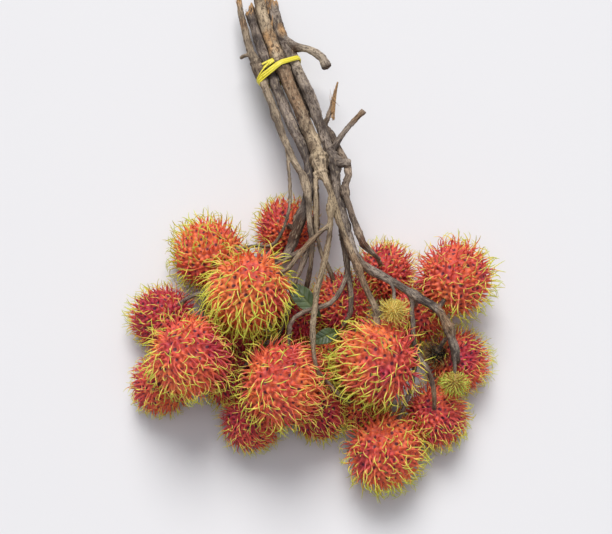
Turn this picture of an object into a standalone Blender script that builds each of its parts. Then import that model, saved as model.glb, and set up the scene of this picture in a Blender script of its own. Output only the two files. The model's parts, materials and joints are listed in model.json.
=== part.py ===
"""A bunch of ripe rambutans on their woody branches, tied with yellow twine and laid on a table.

Row frame: metres, +Z up from the table, +Y along the branches towards their cut ends, and the origin
on the table under the middle of the bunch. Every size below is in millimetres and MM turns it into
metres. Each fruit, each branch with its side twigs, each leaf and the twine is one closed solid.
"""

import math

import bmesh
import bpy
import numpy as np
from mathutils import Matrix, Vector

MM = 0.001

# Driving dimensions of the fruit
FRUIT_RADIUS = 20.0  # waist of a full-size fruit, without its spines
FRUIT_STRETCH = 1.08  # length over width
SPINE_REACH = 8.0  # how far a spine stands out of a full-size fruit
SPINE_VARIES = 0.14  # share by which one spine's length differs from the next
SHORTEST_SPINE = 2.5
STALK_CLEARING = 5.0  # no spine grows this close to the stalk
GOLDEN_ANGLE = 2.4  # turns one spine's number into its share of SPINE_VARIES

# Driving dimensions of the wood, the twine and the leaves
STALK_RADIUS = 1.5  # of a stalk that leaves its stem with no bend
MAIN_SIDES = 8
TWIG_SIDES = 6
ROUTE_STEP = 3.0  # distance between the points that a route is worked out on
TUBE_STEP = 8.0  # distance between the rings of a branch
TWIG_STEP = 6.0
STRAIGHT_STALK = 4.0  # the last bit of wood, which runs straight into the fruit
STEM_GAP = 0.9  # between the routes of two stems that are pressed together
HOLD = 0.02  # how firmly a stem keeps to its own route when its neighbours press on it
STIFFNESS = 0.35  # how firmly it keeps its own bends
PUSH = 0.22  # share of an overlap that one round of settling takes away
TWINE_RADIUS = 0.85
TWINE_TURNS = 2.1
TWINE_PITCH = 2.3
TWINE_SLACK = 1.2
TWINE_SIDES = 6
TWINE_STEPS = 20  # points on one turn of the twine
TWINE_Y = 130.0  # how far along the bundle it is tied
LEAF_THICKNESS = 0.7
LEAF_FOLD = 0.22  # rise of a leaf's edge over its midrib, as a share of the half width
LEAF_CLEARING = 2.2  # no spine comes this close to a leaf

# Pieces that touch keep this much air between them
GAP = 0.35
SHARP_ANGLE = math.radians(50)  # steeper edges than this are shaded sharp
FLAT_SPOT = 1.6  # how much of the lowest fruits' round underside is pressed flat

# Where each fruit hangs in the bunch: centre x, y, z and its size as a share of FRUIT_RADIUS
FRUITS = {
    "fruit_01": (-35, -18, 52, 1.00),
    "fruit_02": (-62, 13, 16, 0.92),
    "fruit_03": (-13, 31, 13, 0.74),
    "fruit_04": (-91, -27, 14, 0.78),
    "fruit_05": (-71, -57, 46, 0.98),
    "fruit_06": (-90, -69, 13, 0.74),
    "fruit_07": (-14, -73, 43, 1.03),
    "fruit_08": (-34, -92, 13, 0.75),
    "fruit_09": (43, -60, 43, 1.03),
    "fruit_10": (49, -111, 18, 0.97),
    "fruit_11": (9, -85, 13, 0.76),
    "fruit_12": (93, -6, 30, 0.93),
    "fruit_13": (50, 2, 14, 0.74),
    "fruit_14": (96, -55, 14, 0.77),
    "fruit_15": (81, -90, 14, 0.78),
    "fruit_16": (70, -25, 14, 0.77),
    "fruit_17": (22, -21, 29, 0.75),
    "fruit_18": (-4, -28, 14, 0.74),
    "fruit_19": (15, -54, 14, 0.77),
    "fruit_20": (-45, -32, 16, 0.86),
    "fruit_21": (-47, -66, 13, 0.72),
    "fruit_22": (35, -84, 13, 0.62),
}

# Undersized fruits that never ripened: centre and the radius of the body
UNRIPE = {
    "unripe_fruit_1": (53, -31, 59, 4.6),
    "unripe_fruit_2": (91, -72, 40, 4.4),
}
UNRIPE_SPINE_REACH = 4.2

# One undersized fruit that dried up on its stalk: centre and the radius of the body
WITHERED = {"withered_fruit": (81, -53, 28, 4.2)}

# Each branch is a list of stems, the main one first. A stem is the place it leaves from, the points it
# runs through as x, y, z and radius, and the fruit it ends in, if any. The place is a stem's number in
# the same list and the point of it, counted from 0. Routes run from the cut ends towards the fruit.
BRANCHES = {
    "branch_left": [
        (None, [(-45, 188, 14, 2.0), (-38, 154, 20, 2.5), (-34, 144, 23, 3.0), (-29, 132, 27, 3.8),
                (-25, 119, 30, 2.5), (-20, 102, 34, 2.6), (-13, 80, 40, 2.2), (-8, 68, 43, 2.1),
                (-2, 57, 46, 2.4), (1, 47, 48, 2.8), (2, 37, 50, 2.0), (3, 24, 51, 1.8),
                (4, 12, 49, 1.7), (3, 0, 42, 1.6)], "fruit_18"),
        ((0, 6), [(-11, 65, 43, 1.1), (-10, 45, 46, 1.1), (-11, 33, 47, 1.1), (-14, 22, 46, 1.1),
                  (-21, 13, 42, 1.1), (-32, 14, 36, 1.2)], "fruit_02"),
        ((0, 2), [(-40, 144, 22, 1.3), (-43, 142, 22, 1.2)], None),
    ],
    "branch_thick": [
        (None, [(-39, 178, 15, 2.8), (-31, 160, 19, 3.2), (-22, 129, 27, 3.5), (-12, 102, 34, 3.5),
                (-8, 91, 37, 3.6), (1, 71, 41, 3.5), (3, 57, 43, 3.2), (1, 43, 44, 3.3),
                (-2, 32, 44, 3.4), (-6, 22, 43, 3.4), (-14, 5, 40, 2.9), (-35, 5, 33, 2.4),
                (-60, -14, 35, 2.0)], "fruit_05"),
        ((0, 9), [(-10, 26, 39, 1.7)], "fruit_03"),
        ((0, 12), [(-72, -18, 34, 1.5)], "fruit_04"),
        ((0, 12), [(-72, -36, 25, 1.5)], "fruit_06"),
    ],
    "branch_peeled": [
        (None, [(-32, 191, 15, 3.6), (-27, 164, 20, 4.0), (-18, 140, 26, 4.4), (-14, 128, 30, 4.2),
                (-6, 106, 36, 4.0), (2, 86, 42, 4.1), (8, 66, 49, 4.5), (10, 58, 51, 2.5),
                (13, 50, 53, 2.0), (16, 41, 55, 2.0), (18, 32, 57, 2.3), (24, 14, 60, 2.0),
                (32, -7, 62, 2.0), (39, -24, 61, 2.0), (43, -32, 59, 2.3)], "fruit_09"),
        ((0, 9), [(15, 33, 60, 1.9), (15, 22, 62, 1.9), (13, 6, 64, 1.8), (7, -19, 64, 1.8),
                  (4, -44, 63, 1.9), (4, -51, 61, 1.9), (5, -59, 58, 1.4), (7, -67, 53, 1.3),
                  (9, -74, 44, 1.3)], "fruit_11"),
        ((1, 1), [(2, 10, 63, 1.5), (-5, 2, 63, 1.5), (-11, -6, 61, 1.4)], "fruit_01"),
        ((0, 6), [(6, 54, 50, 1.4), (6, 35, 52, 1.4), (6, 22, 50, 1.4), (9, 8, 47, 1.4),
                  (15, -4, 45, 1.4)], "fruit_17"),
        ((1, 7), [(16, -76, 42, 1.2), (24, -82, 30, 1.2)], "fruit_22"),
    ],
    "branch_right": [
        (None, [(-24, 184, 14, 3.6), (-17, 157, 19, 3.7), (-7, 133, 26, 3.7), (2, 112, 32, 3.7),
                (9, 92, 38, 3.4), (16, 72, 43, 3.4), (18, 64, 45, 3.8), (19, 54, 47, 2.8),
                (22, 35, 50, 3.0), (26, 14, 53, 3.4), (30, 3, 54, 3.2), (36, -3, 54, 2.8),
                (51, -11, 52, 2.6), (66, -20, 50, 2.6), (81, -29, 48, 2.8), (88, -43, 45, 2.4),
                (91, -52, 42, 2.8), (92, -58, 38, 2.8)], "fruit_14"),
        ((0, 1), [(-6, 148, 28, 2.5), (-1, 146, 30, 2.4), (9, 140, 33, 3.1), (13, 133, 34, 1.5)], None),
        ((0, 5), [(20, 79, 46, 1.9), (26, 87, 49, 1.8), (36, 97, 52, 1.7)], None),
        ((0, 6), [(26, 64, 48, 2.0)], None),
        ((0, 12), [(53, -18, 59, 1.2)], "unripe_fruit_1"),
        ((0, 13), [(65, -34, 44, 1.6), (67, -50, 38, 1.5), (71, -60, 40, 1.5), (76, -68, 43, 1.7),
                   (78, -79, 41, 1.6), (78, -86, 37, 1.4)], "fruit_15"),
        ((5, 1), [(66, -70, 31, 1.4), (60, -86, 31, 1.4)], "fruit_10"),
        ((0, 13), [], "fruit_16"),
        ((0, 14), [], "fruit_12"),
        ((0, 16), [(91, -62, 43, 1.2)], "unripe_fruit_2"),
        ((0, 15), [(84, -47, 38, 1.2)], "withered_fruit"),
    ],
    "branch_outer": [
        (None, [(-28, 190, 8, 2.8), (-20, 158, 13, 2.8), (-8, 131, 21, 2.8), (1, 108, 29, 2.8),
                (11, 91, 36, 2.8), (17, 80, 40, 2.4), (26, 61, 48, 2.3), (24, 53, 50, 2.2),
                (23, 45, 51, 2.1), (25, 38, 53, 2.0), (28, 29, 54, 2.0), (34, 13, 55, 2.6),
                (37, 8, 54, 1.6), (43, 5, 50, 1.4)], "fruit_13"),
        ((0, 4), [(16, 103, 40, 1.7), (18, 111, 43, 1.3), (20, 118, 46, 0.7)], None),
    ],
    "branch_back": [
        (None, [(-29, 188, 7, 2.8), (-21, 155, 13, 2.8), (-16, 131, 19, 2.8), (-3, 104, 27, 2.7),
                (8, 78, 35, 2.5), (12, 66, 39, 2.4), (19, 42, 44, 2.2), (21, 29, 46, 2.0),
                (23, 15, 48, 1.9), (26, -7, 49, 1.8), (28, -26, 45, 1.6), (23, -37, 36, 1.5)], "fruit_19"),
        ((0, 9), [(18, -23, 53, 1.6), (9, -28, 53, 1.6), (-1, -31, 53, 1.5), (-9, -37, 51, 1.5)],
         "fruit_07"),
    ],
    "branch_low": [
        (None, [(-37, 185, 8, 2.6), (-29, 157, 12, 2.6), (-23, 134, 18, 2.6), (-12, 105, 26, 2.6),
                (-1, 79, 33, 2.5), (3, 67, 36, 2.4), (6, 39, 41, 2.2), (6, 26, 43, 2.1),
                (3, 13, 43, 2.0), (-6, -8, 41, 1.8), (-14, -36, 38, 1.6), (-24, -55, 34, 1.5),
                (-33, -68, 32, 1.5)], "fruit_08"),
        ((0, 8), [(-10, 4, 48, 1.5), (-20, 0, 45, 1.5), (-27, -4, 38, 1.5)], "fruit_20"),
        ((0, 11), [(-37, -60, 31, 1.3)], "fruit_21"),
    ],
}

# Leaves: stalk end, tip, half width, and how far the middle bows up
LEAVES = {
    "leaf_1": ((-10, -12, 45), (9, -33, 47), 6.5, 1.5),
    "leaf_2": ((20, -42, 47), (2, -50, 50), 5.0, 1.5),
}

BARK = ((0.20, 0.13, 0.085, 1), 0.85)
SKIN = ((0.62, 0.045, 0.02, 1), 0.5)
UNRIPE_SKIN = ((0.42, 0.36, 0.04, 1), 0.55)
WITHERED_SKIN = ((0.04, 0.028, 0.018, 1), 0.8)
LEAF_GREEN = ((0.05, 0.13, 0.02, 1), 0.45)
TWINE_YELLOW = ((0.80, 0.62, 0.02, 1), 0.4)


def material(name, look):
    """A Principled material of one colour and roughness."""
    made = bpy.data.materials.new(name)
    made.use_nodes = True
    shader = made.node_tree.nodes["Principled BSDF"]
    shader.inputs["Base Color"].default_value, shader.inputs["Roughness"].default_value = look
    made.diffuse_color = look[0]
    return made


def new_object(name, mesh, finish):
    """Links a finished bmesh, worked in millimetres, as one named object in metres."""
    data = bpy.data.meshes.new(name)
    mesh.to_mesh(data)
    mesh.free()
    data.transform(Matrix.Scale(MM, 4))
    data.shade_smooth()
    data.set_sharp_from_angle(angle=SHARP_ANGLE)
    data.materials.append(finish)
    made = bpy.data.objects.new(name, data)
    bpy.context.scene.collection.objects.link(made)
    return made


def unit(vector):
    """The vector at length 1."""
    return np.asarray(vector, float) / np.linalg.norm(vector)


# Fruits -------------------------------------------------------------------------------------------


def settle_fruits(fruits, rounds=200):
    """Pushes fruits that sink into each other apart, and keeps all of them on the table."""
    names = list(fruits)
    centre = np.array([fruits[n][:3] for n in names], float)
    radius = np.array([fruits[n][3] * FRUIT_RADIUS for n in names])
    for _ in range(rounds):
        apart = centre[:, None] - centre[None]
        distance = np.linalg.norm(apart, axis=2) + np.eye(len(names)) * 1e6
        short = np.clip(radius[:, None] + radius[None] - distance, 0, None)
        centre += (apart / distance[..., None] * short[..., None]).sum(1) * PUSH
        centre[:, 2] = np.maximum(centre[:, 2], radius - FLAT_SPOT)
    return {n: (centre[i], radius[i]) for i, n in enumerate(names)}


def stalk_directions(fruits):
    """Each fruit's stalk end faces the last point of the stem that carries it."""
    facing = {}
    for stems in BRANCHES.values():
        for source, way, fruit in stems:
            if fruit:
                facing[fruit] = way[-1] if way else stems[source[0]][1][source[1]]
    return {n: unit(np.array(p[:3]) - fruits[n][0]) for n, p in facing.items()}


def cell_planes(name, fruits):
    """(normal, distance from the centre) of each plane that parts a fruit from a neighbour or the table."""
    centre, radius = fruits[name]
    planes = [(np.array([0, 0, -1.0]), centre[2])]
    for other, (far, far_radius) in fruits.items():
        between = far - centre
        distance = np.linalg.norm(between)
        if other != name and distance < radius + far_radius + 3 * SPINE_REACH:
            share = (distance**2 + radius**2 - far_radius**2) / (2 * distance)
            planes.append((between / distance, share - GAP / 2))
    return planes


def within_cell(offset, planes):
    """The point at this offset from the fruit's centre, drawn in until it is inside every plane."""
    scale = 1.0
    for normal, distance in planes:
        reach = float(offset @ normal)
        if reach * scale > distance:
            scale = distance / reach
    return offset * scale


def distance_to_wood(points, wood):
    """Each point's clearance from the nearest stretch of wood, given as (starts, ends, radii)."""
    starts, ends, radii = wood
    along = ends - starts
    length2 = (along**2).sum(1)
    offset = points[:, None] - starts[None]
    share = np.clip((offset * along[None]).sum(2) / length2[None], 0, 1)
    nearest = offset - share[..., None] * along[None]
    return (np.linalg.norm(nearest, axis=2) - radii[None]).min(1)


def icosphere_directions(level):
    """Unit vectors to the middle of each face of an icosphere."""
    ball = bmesh.new()
    bmesh.ops.create_icosphere(ball, subdivisions=level, radius=1)
    middles = [unit(face.calc_center_median()) for face in ball.faces]
    ball.free()
    return middles


def build_fruit(name, place, stalk, planes, wood, finish, level=3, reach=SPINE_REACH):
    """One fruit with its spines, as a node of its own."""
    centre, radius = place
    mesh = bmesh.new()
    bmesh.ops.create_icosphere(mesh, subdivisions=level, radius=radius)
    turn = Vector((0, 0, 1)).rotation_difference(Vector(stalk)).to_matrix().to_4x4()
    stretch = Matrix.Diagonal((1, 1, FRUIT_STRETCH, 1))
    bmesh.ops.transform(mesh, matrix=turn @ stretch, verts=mesh.verts)
    for vertex in mesh.verts:
        vertex.co = Vector(centre + within_cell(np.array(vertex.co), planes))
    grow_spines(mesh, centre, stalk, turn, planes, wood, level, reach)
    return new_object(name, mesh, finish)


def grow_spines(mesh, centre, stalk, turn, planes, wood, level, reach):
    """Draws one face in four out into a spine, as long as its neighbours and the wood leave room for."""
    mesh.faces.ensure_lookup_table()
    faces = list(mesh.faces)
    middles = np.array([np.array(f.calc_center_median()) - centre for f in faces])
    facing = middles / np.linalg.norm(middles, axis=1)[:, None]
    used = set()
    for number, spot in enumerate(icosphere_directions(level - 1)):
        chosen = int(np.argmax(facing @ np.array(turn.to_3x3() @ Vector(spot))))
        root = middles[chosen]
        length = float(np.linalg.norm(root))
        if chosen in used or np.linalg.norm(root - stalk * length) < STALK_CLEARING:
            continue
        wanted = length + reach * (1 + SPINE_VARIES * math.sin(GOLDEN_ANGLE * number))
        rise = np.linalg.norm(within_cell(root * wanted / length, planes)) - length
        corners = np.array([v.co for v in faces[chosen].verts])
        while rise > SHORTEST_SPINE:
            tip = centre + root * (1 + rise / length)
            edges = np.concatenate([corners + (tip - corners) * s for s in (0.2, 0.4, 0.6, 0.8, 1)])
            if distance_to_wood(edges, wood).min() > GAP:
                break
            rise -= 1
        if rise > SHORTEST_SPINE:
            used.add(chosen)
            made = bmesh.ops.poke(mesh, faces=[faces[chosen]])
            made["verts"][0].co = Vector(tip)


# Wood ---------------------------------------------------------------------------------------------


def smooth_route(points, step):
    """Points a step apart on a smooth curve through points of x, y, z and radius."""
    points = np.array(points, float)
    padded = np.concatenate([[2 * points[0] - points[1]], points, [2 * points[-1] - points[-2]]])
    fine = []
    for i in range(len(points) - 1):
        a, b, c, d = padded[i : i + 4]
        for t in np.linspace(0, 1, 12, endpoint=False):
            fine.append(0.5 * (2 * b + (c - a) * t + (2 * a - 5 * b + 4 * c - d) * t**2
                               + (3 * b - 3 * c + d - a) * t**3))
    fine = np.array(fine + [points[-1]])
    along = np.concatenate([[0], np.cumsum(np.linalg.norm(np.diff(fine[:, :3], axis=0), axis=1))])
    at = np.linspace(0, along[-1], max(3, round(along[-1] / step) + 1))
    return np.stack([np.interp(at, along, fine[:, k]) for k in range(4)], axis=1)


def stalk_end(fruit, fruits, stalks):
    """Where the wood meets the fruit: a gap outside the stalk end of its skin."""
    centre, radius = fruits[fruit]
    return centre + stalks[fruit] * (radius * FRUIT_STRETCH + GAP)


def lay_out_wood(fruits, stalks):
    """The first route of every stem, as {branch: a list of chains}."""
    wood = {}
    for name, stems in BRANCHES.items():
        chains = []
        for source, way, fruit in stems:
            route = [np.array(p, float) for p in way]
            if source:
                leaves = np.array(stems[source[0]][1][source[1]], float)
                parent = chains[source[0]]["points"]
                root = int(np.argmin(np.linalg.norm(parent - leaves[:3], axis=1)))
                thickness = route[0][3] if route else STALK_RADIUS
                route.insert(0, np.append(parent[root], thickness))
                source = (source[0], root)
            if fruit:
                route.append(np.append(stalk_end(fruit, fruits, stalks), route[-1][3]))
            run = smooth_route(route, ROUTE_STEP)
            chains.append({"points": run[:, :3], "radius": run[:, 3], "from": source, "fruit": fruit})
        wood[name] = chains
    return wood


def push_out_of_fruits(points, radius, fruits, stalks, own):
    """Moves points that are too close to a fruit out along its normal. own skips the fruit carried."""
    for name, (centre, fruit_radius) in fruits.items():
        stalk = stalks[name]
        offset = points - centre
        along = (offset @ stalk)[:, None] * stalk
        round_offset = (offset - along) + along / FRUIT_STRETCH
        distance = np.linalg.norm(round_offset, axis=1)
        short = np.clip(fruit_radius + radius + 2 * GAP - distance, 0, None)
        short[own == name] = 0
        points += offset / np.linalg.norm(offset, axis=1)[:, None] * short[:, None]


def settle_wood(wood, fruits, stalks, rounds=320):
    """Eases the routes apart, like stems pressed into a bundle, until no two touch each other or a fruit."""
    keys = [(name, number) for name, stems in wood.items() for number in range(len(stems))]
    chains = [wood[name][number] for name, number in keys]
    ends = np.cumsum([len(chain["points"]) for chain in chains])
    first = np.concatenate([[0], ends[:-1]])
    start_of = dict(zip(keys, first))
    points = np.concatenate([chain["points"] for chain in chains])
    radius = np.concatenate([chain["radius"] for chain in chains])
    branch = np.concatenate([[list(wood).index(name)] * len(wood[name][number]["points"])
                             for name, number in keys])
    own = np.concatenate([near_own_fruit(chain) for chain in chains])
    wanted = points.copy()
    other = branch[:, None] != branch[None]
    room = radius[:, None] + radius[None] + STEM_GAP
    for _ in range(rounds):
        apart = points[:, None] - points[None]
        distance = np.linalg.norm(apart, axis=2) + 1e-6
        short = np.clip(room - distance, 0, None) * other
        points += (apart / distance[..., None] * short[..., None]).sum(1) * PUSH
        push_out_of_fruits(points, radius, fruits, stalks, own)
        points += (wanted - points) * HOLD
        for chain, start, end in zip(chains, first, ends):
            run, planned = points[start:end], wanted[start:end]
            bend = planned[1:-1] - (planned[:-2] + planned[2:]) / 2
            run[1:-1] += ((run[:-2] + run[2:]) / 2 + bend - run[1:-1]) * STIFFNESS
            if chain["fruit"]:
                run[-1] = planned[-1]
                run[-2] = run[-1] + stalks[chain["fruit"]] * STRAIGHT_STALK
        points[:, 2] = np.maximum(points[:, 2], radius + GAP)
        for (name, _), chain, start in zip(keys, chains, first):
            if chain["from"]:
                stem, place = chain["from"]
                points[start] = points[start_of[name, stem] + place]
    for chain, start, end in zip(chains, first, ends):
        chain["points"] = points[start:end]


def near_own_fruit(chain):
    """Names the carried fruit for the last points of a chain, which end on its stalk end."""
    count = len(chain["points"])
    return np.array([chain["fruit"] or "" if i > count - 3 else "" for i in range(count)])


def tube(points, radii, sides):
    """A closed tube round a route, its rings turned as little as possible from one to the next."""
    mesh = bmesh.new()
    rings = []
    across = None
    for i, point in enumerate(points):
        ahead = unit(points[min(i + 1, len(points) - 1)] - points[max(i - 1, 0)])
        if across is None:
            across = unit(np.cross(ahead, (0, 0, 1)))
        across = unit(across - (across @ ahead) * ahead)
        up = np.cross(ahead, across)
        ring = []
        for k in range(sides):
            angle = 2 * math.pi * k / sides
            ring.append(mesh.verts.new(point + radii[i] * (across * math.cos(angle) + up * math.sin(angle))))
        rings.append(ring)
    for before, after in zip(rings, rings[1:]):
        for k in range(sides):
            follow = (k + 1) % sides
            mesh.faces.new((before[k], before[follow], after[follow], after[k]))
    mesh.faces.new(rings[0][::-1])
    mesh.faces.new(rings[-1])
    bmesh.ops.recalc_face_normals(mesh, faces=mesh.faces)
    return mesh


def thinned(chain, step):
    """The chain's points and radii about a step apart, always with both ends and the last straight bit."""
    count = len(chain["points"])
    keep = np.round(np.linspace(0, count - 1, max(3, round(count * ROUTE_STEP / step)))).astype(int)
    keep = np.unique(np.append(keep, count - 2))
    return chain["points"][keep], chain["radius"][keep]


def build_branch(name, chains, finish):
    """One branch: its main stem with every side twig joined into it."""
    bodies = []
    for number, chain in enumerate(chains):
        points, radii = thinned(chain, TWIG_STEP if number else TUBE_STEP)
        mesh = tube(points, radii, TWIG_SIDES if number else MAIN_SIDES)
        bodies.append(new_object(f"{name}_twig_{number}" if number else name, mesh, finish))
    for twig in bodies[1:]:
        join = bodies[0].modifiers.new(twig.name, "BOOLEAN")
        join.operation = "UNION"
        join.object = twig
        twig.hide_render = True
        twig.display_type = "WIRE"
    return bodies[0]


def stretches(chains):
    """(starts, ends, radii) of every stretch of wood in the chains."""
    starts = np.concatenate([c["points"][:-1] for c in chains])
    ends = np.concatenate([c["points"][1:] for c in chains])
    radii = np.concatenate([c["radius"][:-1] for c in chains])
    return starts, ends, radii


# Twine and leaves ---------------------------------------------------------------------------------


def build_twine(wood, finish):
    """Twine wound twice round the bundle, on the outline that its stems press it into."""
    mains = [chains[0] for chains in wood.values()]
    tied = [int(np.argmin(np.abs(c["points"][:, 1] - TWINE_Y))) for c in mains]
    middle = np.mean([c["points"][i] for c, i in zip(mains, tied)], axis=0)
    ahead = unit(np.mean([c["points"][i - 4] - c["points"][i + 4] for c, i in zip(mains, tied)], axis=0))
    across = unit(np.cross(ahead, (0, 0, 1)))
    up = np.cross(across, ahead)
    reach = TWINE_PITCH * TWINE_TURNS / 2 + TWINE_RADIUS
    round_stems = []
    for chain in mains:
        offset = chain["points"] - middle
        near = np.abs(offset @ ahead) < reach + ROUTE_STEP
        round_stems += [(o @ across, o @ up, r) for o, r in zip(offset[near], chain["radius"][near])]
    stems = np.array(round_stems)
    angles = np.linspace(0, 2 * math.pi, 180, endpoint=False)
    facing = np.stack([np.cos(angles), np.sin(angles)])
    support = (stems[:, :2] @ facing + stems[:, 2:]).max(0) + TWINE_RADIUS + TWINE_SLACK
    points = []
    steps = round(TWINE_TURNS * TWINE_STEPS)
    for i in range(steps + 1):
        turn = 2 * math.pi * TWINE_TURNS * i / steps
        facing_turn = np.clip(np.cos(angles - turn), 0.01, None)
        radius = (support / facing_turn).min()
        height = TWINE_PITCH * TWINE_TURNS * (i / steps - 0.5)
        points.append(middle + radius * (across * math.cos(turn) + up * math.sin(turn)) + ahead * height)
    mesh = tube(np.array(points), np.full(len(points), TWINE_RADIUS), TWINE_SIDES)
    return new_object("twine", mesh, finish)


def leaf_sections(start, tip, half_width, bow, steps=9):
    """The left edge, midrib and right edge of a pointed leaf, from its stalk end to its tip."""
    start, tip = np.array(start, float), np.array(tip, float)
    ahead = unit(tip - start)
    across = unit(np.cross(ahead, (0, 0, 1)))
    up = np.cross(across, ahead)
    sections = []
    for i in range(steps):
        t = i / (steps - 1)
        width = half_width * max(0.08, math.sin(math.pi * t**0.85)) ** 0.9
        middle = start + (tip - start) * t + up * bow * 4 * t * (1 - t)
        lift = up * width * LEAF_FOLD
        sections.append((middle - across * width + lift, middle, middle + across * width + lift))
    return sections


def build_leaf(name, shape, finish):
    """A leaf as a thin solid with a shallow fold along its midrib."""
    mesh = bmesh.new()
    rows = [[mesh.verts.new(p) for p in section] for section in leaf_sections(*shape)]
    for before, after in zip(rows, rows[1:]):
        for k in (0, 1):
            mesh.faces.new((before[k], before[k + 1], after[k + 1], after[k]))
    leaf = new_object(name, mesh, finish)
    solid = leaf.modifiers.new("thickness", "SOLIDIFY")
    solid.thickness = LEAF_THICKNESS * MM
    solid.offset = 0
    return leaf


def leaf_stretches():
    """The leaves' edges and midribs, for the spines to keep clear of."""
    starts, ends = [], []
    for shape in LEAVES.values():
        sections = np.array(leaf_sections(*shape))
        lines = np.concatenate([sections, (sections[:, :1] + sections[:, 1:2]) / 2,
                                (sections[:, 1:2] + sections[:, 2:]) / 2], axis=1)
        starts.append(lines[:-1].reshape(-1, 3))
        ends.append(lines[1:].reshape(-1, 3))
    starts, ends = np.concatenate(starts), np.concatenate(ends)
    return starts, ends, np.full(len(starts), LEAF_CLEARING)


def centre_on_origin(objects):
    """Moves the whole bunch so that the origin is on the table under the middle of its box."""
    bpy.context.view_layer.update()
    graph = bpy.context.evaluated_depsgraph_get()
    corners = []
    for item in objects:
        shown = item.evaluated_get(graph)
        corners += [shown.matrix_world @ Vector(corner) for corner in shown.bound_box]
    corners = np.array(corners)
    middle = (corners.min(0) + corners.max(0)) / 2
    bunch = bpy.data.objects.new("bunch", None)
    bpy.context.scene.collection.objects.link(bunch)
    for item in bpy.data.objects:
        if item.type == "MESH":
            item.parent = bunch
    bunch.location = (-middle[0], -middle[1], -corners[:, 2].min())


def main():
    for item in list(bpy.data.objects):
        bpy.data.objects.remove(item)
    bark, skin = material("bark", BARK), material("rambutan skin", SKIN)
    unripe, withered = material("unripe skin", UNRIPE_SKIN), material("withered skin", WITHERED_SKIN)
    green, yellow = material("leaf", LEAF_GREEN), material("twine", TWINE_YELLOW)

    ripe = settle_fruits(FRUITS)
    small = {n: (np.array(p[:3], float), p[3]) for n, p in {**UNRIPE, **WITHERED}.items()}
    fruits = {**ripe, **small}
    stalks = stalk_directions(fruits)
    wood = lay_out_wood(fruits, stalks)
    settle_wood(wood, fruits, stalks)

    nodes = [build_branch(name, chains, bark) for name, chains in wood.items()]
    parts = [stretches([chain for chains in wood.values() for chain in chains]), leaf_stretches()]
    obstacles = [np.concatenate(both) for both in zip(*parts)]
    for name in ripe:
        planes = cell_planes(name, fruits)
        nodes.append(build_fruit(name, fruits[name], stalks[name], planes, obstacles, skin))
    for name in small:
        planes = cell_planes(name, fruits)
        finish = withered if name in WITHERED else unripe
        nodes.append(build_fruit(name, fruits[name], stalks[name], planes, obstacles, finish,
                                 level=2, reach=UNRIPE_SPINE_REACH))
    nodes += [build_leaf(name, shape, green) for name, shape in LEAVES.items()]
    nodes.append(build_twine(wood, yellow))
    centre_on_origin(nodes)


main()
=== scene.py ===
# %% [markdown]
# # A tied bunch of rambutans
# The real thing is a bundle of woody branches, tied near their cut ends with yellow plastic twine. At
# the other end hang some twenty hairy red fruits and three small ones that never ripened: one straw
# yellow, one lime green and one dried up. The CAD frame already holds every fruit, branch and leaf as
# a plain solid. This lesson measures those solids and models the real surfaces in their places: a
# lumpy rind that runs out into soft hooked spines, wrinkled bark with torn ends, veined leaves and
# flat strands of twine.

import heapq
import json
import math

import bpy
import numpy as np
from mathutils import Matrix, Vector, noise
from mathutils.bvhtree import BVHTree

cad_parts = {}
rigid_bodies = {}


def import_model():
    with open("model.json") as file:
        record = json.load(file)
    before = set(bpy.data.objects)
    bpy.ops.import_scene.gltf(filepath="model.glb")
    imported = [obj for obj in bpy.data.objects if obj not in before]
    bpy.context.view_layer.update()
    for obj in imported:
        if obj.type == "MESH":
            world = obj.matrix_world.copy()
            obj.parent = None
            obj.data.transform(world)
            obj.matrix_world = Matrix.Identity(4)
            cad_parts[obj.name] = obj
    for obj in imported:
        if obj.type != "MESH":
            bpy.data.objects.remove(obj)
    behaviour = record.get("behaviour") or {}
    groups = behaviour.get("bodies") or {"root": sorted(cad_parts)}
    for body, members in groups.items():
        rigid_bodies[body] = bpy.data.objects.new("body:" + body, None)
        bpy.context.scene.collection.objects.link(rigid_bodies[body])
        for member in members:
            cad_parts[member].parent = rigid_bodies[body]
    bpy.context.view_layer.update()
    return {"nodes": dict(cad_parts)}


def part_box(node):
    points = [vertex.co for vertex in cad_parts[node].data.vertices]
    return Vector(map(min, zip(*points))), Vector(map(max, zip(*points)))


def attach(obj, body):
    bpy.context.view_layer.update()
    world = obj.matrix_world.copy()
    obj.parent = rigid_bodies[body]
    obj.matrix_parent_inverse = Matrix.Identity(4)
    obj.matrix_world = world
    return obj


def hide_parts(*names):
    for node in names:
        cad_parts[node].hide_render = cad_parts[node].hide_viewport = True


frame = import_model()
nodes = frame["nodes"]
MM = 0.001
draw = np.random.default_rng(20)

# %% [markdown]
# ## Camera, table and light
# The bunch lies on a pale table and is seen from nearly straight above, with the cut stems at the
# top. One big soft lamp behind the stems gives the fruits their bright upper sides and lets their
# shadow fall towards the viewer, as in a light tent. A wide lamp overhead and a dim world, both a
# little blue, fill the shadows in.

# %% Camera
VIEW_MIDDLE = Vector((-0.0025, -0.0268, 0.040))
VIEW_HEIGHT = math.radians(78)  # above the table
VIEW_DISTANCE = 1.0
VIEW_WIDTH = 0.3794  # of the table that fits across the picture, at the view's middle
SENSOR = 36.0
NEAREST_SEEN = 0.01


def point_at(item, place, towards):
    """Puts a camera or a lamp at a place and turns it towards a point."""
    item.location = place
    item.rotation_euler = (Vector(towards) - Vector(place)).to_track_quat("-Z", "Y").to_euler()


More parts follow.
